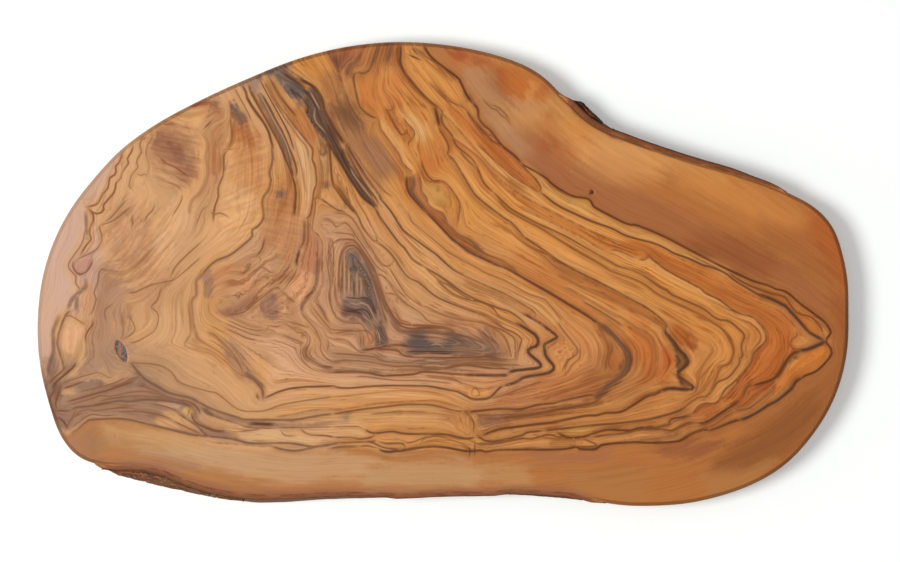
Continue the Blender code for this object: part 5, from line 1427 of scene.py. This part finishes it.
def paint_areas(places, wander):
    """The ground colour at each place, and as its fourth value how much of the grain shows there."""
    ground = np.tile(np.append(linear(HEARTWOOD), 1.0), (len(places), 1))
    for tone, cover, soft, *flat in AREAS:
        near = round_box(np.array(flat, float).reshape(-1, 2), places, soft)
        if len(near):
            edge = wander[near] * EDGE_WANDER * min(WANDER_LIMIT, soft)
            share = cover * area_share(flat, soft, places[near], edge)
            tint(ground, near, tone[:3], share)
            if len(tone) > 3:
                ground[near, 3] += (tone[3] - ground[near, 3]) * share
    ground[:, :3] *= 1 + np.clip(places[:, :1] / REDDER_REACH, -1, 1) * REDDER
    return ground


def draw_lines(places, age, wander, ground):
    """Shades the ground beside the growth lines. Gives the nearest line's tone and cover, and its tent.

    The tent rises from 0 at the edges of a line to 1 along its middle.
    """
    tent = np.zeros(len(places))
    nearest = np.full(len(places), FAR)
    stroke = np.zeros((len(places), 4))
    for pen, left, right, line in lines:
        half, cover, tone, darkening = PENS[pen]
        near, gap, along = near_line(line, places, SHADE_LIMIT)
        if not len(near):
            continue
        ends = np.clip(np.minimum(along, len(line) - 1 - along) / TAPER + BLUNT, 0, 1)
        outer = np.sign((gap * (age[near] - np.median(age[near[np.abs(gap) < 1]]))).sum())
        for shade, side in ((left, 1), (right, -1)):
            halo = (HALO_REACH, darkening * (1 if side == outer else HALO_INNER), HALO_TONE)
            for reach, deepest, shade_tone in filter(None, (shade, halo)):
                fall = np.clip(1 - gap * side / reach, 0, 1) ** SHADE_FALL * (gap * side >= 0)
                tint(ground, near, shade_tone, fall * deepest * ends)
        swell = 1 + SWELL * wander[near]
        ratio = np.abs(gap) / (half * swell)
        closer = (ratio < nearest[near]) & (ratio < 2)
        chosen = near[closer]
        nearest[chosen] = ratio[closer]
        stroke[chosen, :3] = linear(tone)
        stroke[chosen, 3] = (cover * ends * np.clip(swell, THINNEST, 1))[closer]
        tent[near] = np.maximum(tent[near], np.clip(1 - ratio, 0, 1))
    return stroke, tent


def beside_bark(places, node_name):
    """1 for the places in front of a strip of bark, seen from the middle of the board, and 0 elsewhere."""
    spots = np.array([tuple(corner) for corner in node_corners(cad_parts[node_name])])
    turns = np.arctan2(spots[:, 1], spots[:, 0])
    turn = np.arctan2(places[:, 1], places[:, 0])
    return smooth_step(np.minimum(turn - turns.min(), turns.max() - turn) / BARK_FADE)


def paint_rim_shade_and_blush(places, ground):
    """Painted shade on the sawn rim and the wall, and darker wood beside the front bark."""
    bark = beside_bark(places, "front_inner_bark")
    # Painted shade: the wall evenly, and the rounded rim darkest at its edge
    near, gap, _ = near_line(closed(top_ring), places, RIM_WIDTH)
    fall = np.zeros(len(places))
    fall[len(top_places):-len(foot_places)] = WALL_SHADE_COVER
    fall[near] = np.maximum(fall[near], (1 - np.abs(gap) / RIM_WIDTH) * RIM_SHADE_COVER)
    fall *= 1 - bark
    # Less painted shade at the left end, which faces the lamp
    paler = smooth_step((PALER_FROM[0] - places[:, 0]) / PALER_FADE)
    fall *= 1 - LESS_RIM_SHADE_LEFT * paler * smooth_step((places[:, 1] - PALER_FROM[1]) / PALER_FADE)
    tint(ground, slice(None), RIM_SHADE_TONE, fall)
    # The darker wood beside the front bark, where the painted rim shade is left out
    near, gap, _ = near_line(closed(top_ring), places, BLUSH_REACH)
    fall = np.zeros(len(places))
    fall[near] = (1 - np.abs(gap) / BLUSH_REACH) * BLUSH_COVER
    tint(ground, slice(None), BLUSH_TONE, fall * bark)


def curly_rays(places):
    """How strongly the rays of curly grain show at each place, and how far across them it lies."""
    curl, ray = np.zeros((2, len(places)))
    for angle, strength, soft, *flat in RAYS:
        share = area_share(flat, soft, places) * strength
        turn = math.radians(angle)
        across = places[:, 1] * math.cos(turn) - places[:, 0] * math.sin(turn)
        ray = np.where(share > curl, across, ray)
        curl = np.maximum(curl, share)
    return curl, ray


def store(mesh, name, values):
    """Keeps a number or a colour for each corner of a mesh, where its material reads it."""
    kind, field = ("FLOAT_COLOR", "color") if values.ndim == 2 else ("FLOAT", "value")
    layer = mesh.attributes.new(name, kind, "POINT")
    layer.data.foreach_set(field, np.ascontiguousarray(values, np.float32).ravel())


age = grain_age(places)
wander = np.array([
    clouds(a * WANDER_ACROSS, x * WANDER_ALONG, y * WANDER_ALONG) for a, (x, y) in zip(age, places)
])
ground = paint_areas(places, wander)
stroke, tent = draw_lines(places, age, wander, ground)
paint_rim_shade_and_blush(places, ground)
curl, ray = curly_rays(places)
for name, values in (
    ("ground", ground), ("stroke", stroke), ("tent", tent), ("age", age), ("curl", curl), ("ray", ray),
):
    store(slab_mesh, name, values)

# The finish: sanded and oiled wood, with a faint gloss. The grain is noise drawn out along the growth lines,
# given as cycles per millimetre across the lines and along them.
GLOSS = 0.12
FIBRES = (1.7, 0.03)
BANDS = (0.3, 0.012)
PORES = (1.1, 0.11)
FINE_LINES = (0.42, 0.008)
FINE_LINE_PATCHES = (0.1, 0.03)
CURLY_RAYS = (0.5, 0.05)
CLOUDS = 0.22
BAND_STAIN = (0.74, 0.58, 0.42)
CLOUD_STAIN = (0.76, 0.56, 0.42)
PORE_STAIN = (0.55, 0.40, 0.28)


def add_attribute(tree, name, output="Fac"):
    return add_node(tree, "Attribute", output=output, attribute_name=name)


def object_place(tree):
    return add_node(tree, "TexCoord", output="Object")


def add_range(tree, value, low, high, to_low, to_high):
    """A value's span from low to high, turned into another with soft ends."""
    return add_node(tree, "MapRange", value, low, high, to_low, to_high, interpolation_type="SMOOTHSTEP")


def add_noise(tree, place, scale, detail, roughness):
    return add_node(tree, "TexNoise", place, None, scale, detail, roughness)


def mix_colours(tree, factor, first, second, blend="MIX"):
    node = tree.nodes.new("ShaderNodeMix")
    node.data_type = "RGBA"
    node.blend_type = blend
    for socket, value in ((node.inputs[0], factor), (node.inputs[6], first), (node.inputs[7], second)):
        if isinstance(value, bpy.types.NodeSocket):
            tree.links.new(value, socket)
        else:
            socket.default_value = value
    return node.outputs[2]


def stain(tree, factor, colour, by):
    """A colour with a stain over it where the factor is 1."""
    return mix_colours(tree, factor, colour, mix_colours(tree, 1.0, colour, (*by, 1), "MULTIPLY"))


def lighten(tree, colour, amount):
    """A colour times an amount, the same for red, green and blue."""
    return mix_colours(tree, 1.0, colour, add_node(tree, "CombineColor", amount, amount, amount), "MULTIPLY")


def grain_noise(tree, age, across, along, detail=3.0):
    """Noise drawn out along the growth lines. across and along are cycles per millimetre."""
    split = tree.nodes.new("ShaderNodeSeparateXYZ")
    tree.links.new(object_place(tree), split.inputs[0])
    vector = add_node(
        tree, "CombineXYZ",
        add_maths(tree, "MULTIPLY", age, across),
        add_maths(tree, "MULTIPLY", split.outputs[0], along / MM),
        add_maths(tree, "MULTIPLY", split.outputs[1], along / MM),
    )
    return add_noise(tree, vector, 1.0, detail, 0.55)


def add_finish(tree, colour, height, depth, low, high, rough_low, rough_high):
    """The colour, a relief of this depth in millimetres for a height of 1, and a roughness by height."""
    shader = tree.nodes["Principled BSDF"]
    tree.links.new(colour, shader.inputs["Base Color"])
    bump = tree.nodes.new("ShaderNodeBump")
    bump.inputs["Distance"].default_value = depth * MM
    tree.links.new(height, bump.inputs["Height"])
    tree.links.new(bump.outputs["Normal"], shader.inputs["Normal"])
    tree.links.new(add_range(tree, height, low, high, rough_low, rough_high), shader.inputs["Roughness"])
    shader.inputs["Specular IOR Level"].default_value = GLOSS


def wood_material():
    material, tree = new_material("oiled_olive_wood")
    age, curl = add_attribute(tree, "age"), add_attribute(tree, "curl")
    fibre = grain_noise(tree, age, *FIBRES)
    ground, life = add_attribute(tree, "ground", "Color"), add_attribute(tree, "ground", "Alpha")
    # Dark wood shows its fibres more
    dark = add_range(tree, add_node(tree, "RGBToBW", ground), 0.06, 0.30, 1.0, 0.0)
    swing = add_maths(tree, "MULTIPLY", add_range(tree, dark, 0.0, 1.0, 0.165, 0.42), life)
    lighter = add_maths(tree, "MULTIPLY_ADD", add_range(tree, fibre, 0.3, 0.7, -1.0, 1.0), swing, 1.0)
    wood = lighten(tree, ground, lighter)
    # Darker bands between the growth lines
    bands = add_range(tree, grain_noise(tree, age, *BANDS), 0.35, 0.68, 0.0, 0.45)
    wood = stain(tree, add_maths(tree, "MULTIPLY", bands, life), wood, BAND_STAIN)
    # The rays and the clouded tone of the curly grain
    rays = grain_noise(tree, add_attribute(tree, "ray"), *CURLY_RAYS)
    swing = add_maths(tree, "MULTIPLY", curl, 0.20)
    lighter = add_maths(tree, "MULTIPLY_ADD", add_range(tree, rays, 0.32, 0.68, -1.0, 0.8), swing, 1.0)
    wood = lighten(tree, wood, lighter)
    cloud = add_noise(tree, object_place(tree), CLOUDS / MM, 5.0, 0.62)
    cloud = add_range(tree, cloud, 0.36, 0.60, 0.42, 0.0)
    wood = stain(tree, add_maths(tree, "MULTIPLY", cloud, curl), wood, CLOUD_STAIN)
    # Short dark pores along the grain
    pores = add_range(tree, grain_noise(tree, age, *PORES, 2.0), 0.60, 0.74, 0.0, 0.6)
    pores = add_maths(tree, "MULTIPLY", pores, life)
    wood = stain(tree, pores, wood, PORE_STAIN)
    # Fine growth lines, here and there, run where the noise crosses its middle value
    off_middle = add_maths(tree, "SUBTRACT", grain_noise(tree, age, *FINE_LINES, 1.0), 0.5)
    fine = add_range(tree, add_maths(tree, "ABSOLUTE", off_middle), 0.008, 0.04, 1.0, 0.0)
    shown = add_range(tree, grain_noise(tree, age, *FINE_LINE_PATCHES, 1.0), 0.42, 0.58, 0.0, 0.66)
    fine = add_maths(tree, "MULTIPLY", add_maths(tree, "MULTIPLY", fine, shown), life)
    wood = stain(tree, fine, wood, PORE_STAIN)
    # The drawn growth lines, with edges that follow the fibres
    ragged = add_range(tree, fibre, 0.3, 0.7, -0.12, 0.12)
    drawn = add_range(tree, add_maths(tree, "ADD", add_attribute(tree, "tent"), ragged), 0.06, 0.74, 0.0, 1.0)
    cover = add_maths(tree, "MULTIPLY", drawn, add_attribute(tree, "stroke", "Alpha"))
    wood = mix_colours(tree, cover, wood, add_attribute(tree, "stroke", "Color"))
    add_finish(tree, wood, add_maths(tree, "SUBTRACT", fibre, pores), 0.03, 0.0, 0.8, 0.52, 0.40)
    return material


slab_mesh.materials.append(wood_material())
slab = add_object("olive_slab", slab_mesh)
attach(slab, "root")
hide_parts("slab")

# The bark is in strips along the slab's two natural edges: a smooth inner layer grown on to the wood, and
# outside it what is left of the rough outer bark, which flakes and splits along the trunk. The strips are
# worn down to the wood at their ends, and each reaches a little into what it lies on.
BARK_STEP = 0.9
STUB_STEP = 0.45
END_FEATHER = 9.0
END_THICKNESS = 0.35
BARE_LENGTH = 14.0
RAGGED = 7.0
SEAM_FALL = 0.5
SHARP_EDGE = 50  # degrees
TURN_MARGIN = 2e-4
HEIGHT_MARGIN = 2e-5
RUBBED = (0.62, 0.52, 0.45)  # what darkens the streaks of the inner bark


def strip_angles(node, step):
    """Directions from the middle of the board that follow a strip of bark in even steps, in millimetres."""
    spots = np.array([tuple(corner) for corner in node_corners(node)])[:, :2] / MM
    turns = np.arctan2(spots[:, 1], spots[:, 0])
    length = (turns.max() - turns.min()) * np.hypot(*spots.T).mean()
    return np.linspace(turns.min() + TURN_MARGIN, turns.max() - TURN_MARGIN, max(8, round(length / step)))


def strip_faces(node, heights, angles):
    """How far a strip's inner and outer faces are from the middle of the board, by height and direction."""
    tree = mesh_tree(node)
    inner, outer = np.full((2, len(heights), len(angles)), np.nan)
    for row, height in enumerate(heights):
        level = Vector((0, 0, height))
        for column, angle in enumerate(angles):
            way = direction(angle)
            for faces, start, towards in ((inner, level, way), (outer, level + way * LENGTH, -way)):
                hit = tree.ray_cast(start, towards)[0]
                if hit:
                    faces[row, column] = hit.xy.length
        for faces in (inner, outer):
            missed = np.isnan(faces[row])
            faces[row, missed] = np.interp(angles[missed], angles[~missed], faces[row, ~missed])
    return inner, outer


def add_band(shape, before, after):
    """A band of faces between two rings of corners."""
    for i in range(len(before)):
        j = (i + 1) % len(before)
        shape.faces.new((before[i], after[i], after[j], before[j]))


def bark_strip(name, node_name, levels, step, seat, relief):
    """A strip of bark over its plain solid. seat is how deep it reaches into what it lies on, in millimetres.

    relief gives how far the bark stands out at a place along the strip and a height, both in millimetres.
    """
    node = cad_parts[node_name]
    low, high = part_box(node_name)
    heights = np.linspace(low.z, high.z, levels)
    angles = strip_angles(node, step)
    inner, outer = strip_faces(node, np.clip(heights, low.z + HEIGHT_MARGIN, high.z - HEIGHT_MARGIN), angles)
    ways = np.stack([np.cos(angles), np.sin(angles)], axis=1)
    run = np.concatenate([[0], np.cumsum(np.hypot(*np.diff(ways * outer[0][:, None], axis=0).T) / MM)])
    from_end = np.minimum(run, run[-1] - run)
    feather = smooth_step(from_end / END_FEATHER)
    fullness = END_THICKNESS + (1 - END_THICKNESS) * feather
    shape = bmesh.new()
    layers = [shape.verts.layers.float.new(layer) for layer in ("run", "up", "out", "bare")]
    rings = []
    for column, way in enumerate(ways):
        spots = []
        for row, height in enumerate(heights):
            raised = relief(run[column], height / MM) * feather[column] * MM
            thickness = (outer[row, column] - inner[row, column]) * fullness[column]
            spots.append((*(way * (inner[row, column] + thickness + raised)), height))
        for row in reversed(range(levels)):
            fall = SEAM_FALL * MM * (row == levels - 1)
            spots.append((*(way * (inner[row, column] - seat * MM)), heights[row] - fall))
        ring = [shape.verts.new(spot) for spot in spots]
        for row, vert in enumerate(ring):
            up = spots[row][2] / MM
            ragged = RAGGED * clouds(run[column] * 0.12, up * 0.3, 31.0)
            bare = 1 - smooth_step((from_end[column] + ragged) / BARE_LENGTH)
            for layer, value in zip(layers, (run[column], up, float(row < levels), bare)):
                vert[layer] = value
        rings.append(ring)
    for before, after in zip(rings, rings[1:]):
        add_band(shape, before, after)
    shape.faces.new(rings[0])
    shape.faces.new(list(reversed(rings[-1])))
    bmesh.ops.recalc_face_normals(shape, faces=shape.faces)
    mesh = finish_mesh(shape, name)
    mesh.shade_smooth()
    mesh.set_sharp_from_angle(angle=math.radians(SHARP_EDGE))
    return add_object(name, mesh)


def rgba(tone):
    """A tone as a colour socket takes it."""
    return (*linear(tone), 1)


def bark_noise(tree, along, across, detail, shift=0.0):
    """Noise drawn out along a strip of bark. along and across are cycles per millimetre."""
    run, up, out = (add_attribute(tree, layer) for layer in ("run", "up", "out"))
    place = add_node(
        tree, "CombineXYZ",
        add_maths(tree, "MULTIPLY", run, along),
        add_maths(tree, "MULTIPLY", up, across),
        add_maths(tree, "MULTIPLY_ADD", out, across * 3, shift),
    )
    return add_noise(tree, place, 1.0, detail, 0.6)


def inner_bark_material(name, wood, light, dark, deep):
    """Bark streaked along the strip: pale where it meets the wood and at its ends, deepest at its rim."""
    material, tree = new_material(name)
    out, bare = add_attribute(tree, "out"), add_attribute(tree, "bare")
    broad = add_range(tree, bark_noise(tree, 0.10, 0.5, 3.0), 0.3, 0.7, -0.22, 0.22)
    fine = add_range(tree, bark_noise(tree, 0.12, 1.6, 4.0), 0.5, 0.68, 0.0, 0.7)
    place = add_maths(tree, "ADD", add_maths(tree, "MULTIPLY_ADD", bare, -1.0, out), broad)
    colour = mix_colours(tree, add_range(tree, place, 0.02, 0.22, 0.0, 1.0), rgba(wood), rgba(light))
    colour = mix_colours(tree, add_range(tree, place, 0.2, 0.6, 0.0, 1.0), colour, rgba(dark))
    rim = add_range(tree, add_maths(tree, "MULTIPLY_ADD", bare, -0.5, out), 0.68, 0.97, 0.0, 0.9)
    colour = stain(tree, fine, mix_colours(tree, rim, colour, rgba(deep)), RUBBED)
    add_finish(tree, colour, add_maths(tree, "SUBTRACT", broad, fine), 0.15, -0.8, 0.2, 0.78, 0.66)
    return material


def rough_bark_material(name, dark, brown, red, glint, crack, under):
    """Old bark in plates of several browns, with dark cracks between them and painted glints of light."""
    material, tree = new_material(name)
    browns = add_range(tree, bark_noise(tree, 0.14, 0.5, 4.0), 0.44, 0.56, 0.0, 1.0)
    reds = add_range(tree, bark_noise(tree, 0.11, 0.4, 3.0, 20.0), 0.52, 0.6, 0.0, 1.0)
    colour = mix_colours(tree, reds, mix_colours(tree, browns, rgba(dark), rgba(brown)), rgba(red))
    off_middle = add_maths(tree, "SUBTRACT", bark_noise(tree, 0.16, 0.6, 3.0, 40.0), 0.5)
    edges = add_maths(tree, "ABSOLUTE", off_middle)
    colour = mix_colours(tree, add_range(tree, edges, 0.0, 0.035, 0.85, 0.0), colour, rgba(crack))
    # Painted highlights: pale flecks, as glints of light on the bark
    glints = add_range(tree, bark_noise(tree, 0.5, 1.2, 2.0, 60.0), 0.62, 0.68, 0.0, 0.8)
    colour = mix_colours(tree, glints, colour, rgba(glint))
    worn = add_range(tree, add_attribute(tree, "bare"), 0.3, 0.8, 0.0, 0.85)
    add_finish(tree, mix_colours(tree, worn, colour, rgba(under)), edges, 0.8, 0.0, 0.25, 0.95, 0.78)
    return material


def smooth_bark(run, height):
    return 0.12 * clouds(run * 0.12, height * 0.6, 0)


def rough_bark(depth, seed):
    """Relief for rough bark: long plates with cracks between them."""
    crack_width = 0.16

    def relief(run, height):
        plates = noise.fractal(Vector((run * 0.13, height * 0.55, seed)), 0.8, 2.1, 5)
        off_crack = abs(noise.noise(Vector((run * 0.22, height * 0.7, seed + 9))))
        return depth * (0.8 * plates - 1.2 * max(0.0, crack_width - off_crack) / crack_width)

    return relief


front_inner = inner_bark_material(
    "front_inner_bark", wood=(172, 116, 74), light=(152, 98, 66), dark=(138, 86, 58), deep=(112, 72, 48)
)
rear_inner = inner_bark_material(
    "rear_inner_bark", wood=(186, 120, 68), light=(150, 90, 52), dark=(128, 74, 42), deep=(76, 48, 30)
)
outer_bark = rough_bark_material(
    "outer_bark", (92, 72, 50), (126, 86, 56), (152, 84, 54),
    glint=(204, 158, 118), crack=(56, 42, 30), under=(112, 72, 48),
)
stub_bark = rough_bark_material(
    "stub_bark", (52, 40, 30), (70, 48, 32), (186, 92, 44),
    glint=(190, 110, 60), crack=(36, 28, 22), under=(60, 42, 30),
)
INNER = ("inner_bark", 0.45)
OUTER = ("outer_bark", 0.4)
BARK_PIECES = (
    ("rear_inner_layer", "rear_inner_bark", *INNER, 14, BARK_STEP, smooth_bark, rear_inner),
    ("front_inner_layer", "front_inner_bark", *INNER, 14, BARK_STEP, smooth_bark, front_inner),
    ("rear_rind", "rear_bark_rind", *OUTER, 12, BARK_STEP, rough_bark(0.25, 3), outer_bark),
    ("rear_stub", "rear_bark_stub", *OUTER, 18, STUB_STEP, rough_bark(0.5, 5), stub_bark),
    ("front_rough_layer", "front_rough_bark", *OUTER, 24, BARK_STEP, rough_bark(0.6, 7), outer_bark),
    ("front_crust", "front_bark_crust", *OUTER, 16, BARK_STEP, rough_bark(0.35, 11), outer_bark),
)
for name, node_name, slot, seat, levels, step, relief, material in BARK_PIECES:
    piece = bark_strip(name, node_name, levels, step, seat, relief)
    piece.data.materials.append(material)
    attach(piece, "root")
    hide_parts(node_name)

# The bark pocket and the dead pin knot are let into the working face: bark that the wood grew round, and the
# end of a dead twig. Both have dried and shrunk a little, so they stand just below it.
INLAY_TOP = ((0.3, 0.02, 0.22), (0.55, 0.05, 0.22), (0.75, 0.06, 0.22), (0.9, 0.02, 0.22), (0.97, 0.10, 0))
INLAY_WAIST = 0.88
INLAY_FOOT = 0.78
WAVES = 1.1  # cycles per millimetre
MOTTLE = 0.7
BRIDGE_PLACE = -199.0  # where a thin strip of wood crosses the bark pocket, along x
BRIDGE_EDGES = (0.3, 0.9)
BRIDGE_TONE = (158, 110, 78)


def inlay_mesh(name, node_name, sunk):
    """A piece let into the top, sunk this far below it. Its top is made of rings round its middle.

    INLAY_TOP gives each ring's share of the outline, how much lower it lies, and how wavy it is.
    """
    middle, _, mouth, _ = seats[node_name]
    low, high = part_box(node_name)
    shape = bmesh.new()

    def add_ring(share, height, wave=0):
        ring = []
        for spot in mouth:
            x, y = (middle + (spot - middle) * share) * MM
            lift = wave * MM * noise.noise(Vector((x, y, 0)) / MM * WAVES)
            ring.append(shape.verts.new((x, y, height + lift)))
        return ring

    centre = shape.verts.new((*(middle * MM), high.z - sunk * MM))
    rings = [add_ring(share, high.z - (sunk + fall) * MM, wave) for share, fall, wave in INLAY_TOP]
    rings.append(add_ring(INLAY_WAIST, (low.z + high.z) / 2))
    rings.append(add_ring(INLAY_FOOT, low.z))
    for corner, following in zip(rings[0], rings[0][1:] + rings[0][:1]):
        shape.faces.new((centre, corner, following))
    for before, after in zip(rings, rings[1:]):
        add_band(shape, before, after)
    shape.faces.new(list(reversed(rings[-1])))
    bmesh.ops.recalc_face_normals(shape, faces=shape.faces)
    mesh = finish_mesh(shape, name)
    mesh.shade_smooth()
    return mesh


def dead_wood_material(name, dark, light, bridge=None):
    """Mottled dead wood. bridge is where a strip of sound wood crosses it."""
    material, tree = new_material(name)
    place = object_place(tree)
    mottle = add_noise(tree, place, MOTTLE / MM, 3.0, 0.6)
    colour = mix_colours(tree, add_range(tree, mottle, 0.42, 0.6, 0.0, 1.0), rgba(dark), rgba(light))
    if bridge:
        along = add_node(tree, "SeparateXYZ", place)
        gap = add_maths(tree, "ABSOLUTE", add_maths(tree, "SUBTRACT", along, bridge * MM))
        sound = add_range(tree, gap, *(edge * MM for edge in BRIDGE_EDGES), 1.0, 0.0)
        colour = mix_colours(tree, sound, colour, rgba(BRIDGE_TONE))
    add_finish(tree, colour, mottle, 0.1, 0.3, 0.7, 0.72, 0.52)
    return material


pocket_wood = dead_wood_material("pocket_bark", (84, 78, 86), (138, 112, 98), BRIDGE_PLACE)
knot_wood = dead_wood_material("knot_wood", (84, 44, 26), (110, 60, 36))
for name, node_name, sunk, material in (
    ("pocket_bark", "bark_pocket", 0.35, pocket_wood), ("knot_wood", "pin_knot", 0.15, knot_wood),
):
    piece = add_object(name, inlay_mesh(name, node_name, sunk))
    piece.data.materials.append(material)
    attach(piece, "root")
    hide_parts(node_name)
